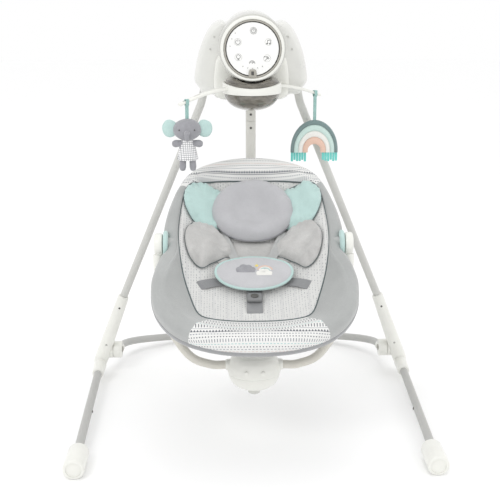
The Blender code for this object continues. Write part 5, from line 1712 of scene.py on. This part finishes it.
def smoked(name, colour):
    """Smoked clear plastic: glossy, with prisms behind the skin whose reflections are painted into
    the colour as lighter and darker patches.
    """
    g = Graph(name, colour, 0.08, ior=1.52)
    g.set("Coat Weight", 1.0)
    g.set("Coat Roughness", 0.03)
    g.set("Transmission Weight", 0.30)
    at = g.coords()
    # painted reflections: this noise lightens and darkens the colour in patches, and also gives the
    # facets their bump
    facets_and_painted_glints = g.noise(g.stretched(at, (1.0, 1.0, 2.6)), 46.0, 3.0, 0.7)
    g.colour(g.mix(g.spread(facets_and_painted_glints, 0.38, 0.62), shade(colour, 0.72), shade(colour, 1.30)))
    g.roughness(g.spread(g.noise(at, 160.0, 3.0), 0.3, 0.7, 0.05, 0.12))
    g.bump(facets_and_painted_glints, 0.0012, 0.35)
    return g.mat


def brushed(name, colour, roughness):
    g = Graph(name, colour, roughness, metallic=1.0)
    at = g.stretched(g.coords(), (1.0, 1.0, 12.0))
    lines = g.noise(at, 300.0, 3.0)
    g.colour(g.mix(lines, shade(colour, 0.85), shade(colour, 1.1)))
    g.roughness(g.spread(lines, 0.3, 0.7, roughness, roughness + 0.15))
    return g.mat


def materials():
    grey = lin(176, 178, 177)
    return {
        "shell": moulded("shell_white", lin(226, 226, 222), 0.30),
        "white": moulded("part_white", lin(234, 234, 228), 0.32),
        # the release knob is white like the hub; this grey is painted shade from the hub above it
        "knob": moulded("knob_painted_shade", lin(208, 208, 203), 0.34),
        "drum": moulded("drum_grey", lin(200, 200, 195), 0.30),
        "face": moulded("face_white", lin(243, 243, 241), 0.22, 0.4),
        "button": moulded("button_white", lin(240, 240, 238), 0.28, 0.3),
        "taupe": moulded("taupe", lin(164, 161, 152), 0.28, 0.4),
        "moulding": moulded("moulding_grey", lin(120, 121, 122), 0.42),
        "dark": moulded("dark_plastic", lin(74, 73, 70), 0.40),
        "print": moulded("print_ink", lin(112, 113, 112), 0.55, 0.0),
        "smoke": smoked("smoked_taupe", lin(122, 117, 106)),
        "lamp": moulded("lamp", lin(250, 240, 214), 0.20),
        "tube": powder("tube_grey", lin(202, 202, 198)),
        "floor_tube": powder("tube_floor_grey", lin(180, 180, 177)),
        "arm": powder("arm_grey", lin(212, 211, 205)),
        "beige": powder("tube_beige", lin(211, 208, 199)),
        "ring": powder("ring_grey", lin(176, 177, 176)),
        "plush": pile("plush_grey", grey, 9.0, 0.0014, 0.16),
        "fluffy": pile("fluffy_grey", lin(203, 202, 200), 28.0, 0.0028, 0.22),
        "rim": pile("rim_grey", lin(158, 159, 161), 20.0, 0.0006, 0.07),
        "under": woven("under_cloth", lin(150, 151, 151), 0.0016),
        "mint": pile("mint_plush", lin(192, 219, 215), 16.0, 0.0012, 0.13),
        "pale_mint": pile("mint_felt", lin(206, 228, 222), 40.0, 0.0005, 0.05, 0.2),
        "felt_moss": pile("moss_felt", lin(126, 146, 146), 40.0, 0.0006, 0.10, 0.3),
        "pillow": pile("pillow_plush", lin(190, 190, 193), 22.0, 0.0010, 0.09),
        "pillow_edge": pile("pillow_edge", lin(150, 150, 155), 30.0, 0.0005, 0.08),
        "heather": pile("heather_grey", lin(158, 158, 163), 90.0, 0.0009, 0.18),
        "lilac": pile("lilac_plush", lin(199, 199, 202), 24.0, 0.0008, 0.08),
        "cream": pile("cream_felt", lin(240, 239, 234), 40.0, 0.0004, 0.04, 0.2),
        "peach": pile("peach_felt", lin(232, 198, 180), 40.0, 0.0004, 0.05, 0.2),
        "yellow": pile("yellow_felt", lin(238, 218, 128), 40.0, 0.0004, 0.05, 0.2),
        "moss": pile("moss_cord", lin(98, 110, 112), 60.0, 0.0004, 0.12, 0.2),
        "turquoise": pile("turquoise_felt", lin(122, 214, 206), 40.0, 0.0005, 0.07, 0.2),
        "mint_web": woven("mint_strap", lin(158, 196, 190), 0.0012),
        "webbing": webbing_cloth("webbing_grey", lin(190, 191, 190)),
        "dark_webbing": webbing_cloth("webbing_dark", lin(148, 149, 151)),
        "border": border_cloth(),
        "knit": pad_cloth(),
        "grid_cloth": grid_cloth(),
        "steel": brushed("bright_steel", (0.62, 0.62, 0.64), 0.22),
        "magnet": brushed("magnet", (0.30, 0.30, 0.32), 0.28),
        "copper": brushed("copper_winding", (0.70, 0.30, 0.14), 0.30),
        "bronze": brushed("bronze_bush", (0.55, 0.40, 0.18), 0.32),
        "board": moulded("circuit_board", (0.03, 0.16, 0.07), 0.50),
        "cell": moulded("battery_case", lin(66, 92, 120), 0.30),
    }


# ---- solids that show as they are ---------------------------------------------------
KEPT = {
    "control_face": "face", "timer_button": "button", "power_button": "button",
    "music_button": "button", "light_button": "button", "nature_button": "button",
    "seat_ring": "ring", "swivel_pin": "steel", "pivot_shaft": "steel", "pivot_bush": "bronze",
    "arm_yoke": "moulding", "drive_magnet": "magnet", "drive_coil": "copper",
    "circuit_board": "board", "light_board": "board", "speaker": "dark",
    "battery_left": "cell", "battery_right": "cell",
}


def main():
    studio()
    camera()
    m = materials()
    group = soft_normals()
    motor_head(m)
    control_pod(m)
    icons(m)
    globe(m)
    toy_bar(m)
    elephant(m)
    rainbow(m)
    stand(m)
    rear_bow(m)
    swing_arm(m)
    seat_base(m)
    seat_cover(m)
    cushions(m)
    harness(m)
    tummy(m)
    for name, mat in KEPT.items():
        finish_node(name, m[mat], group)


main()
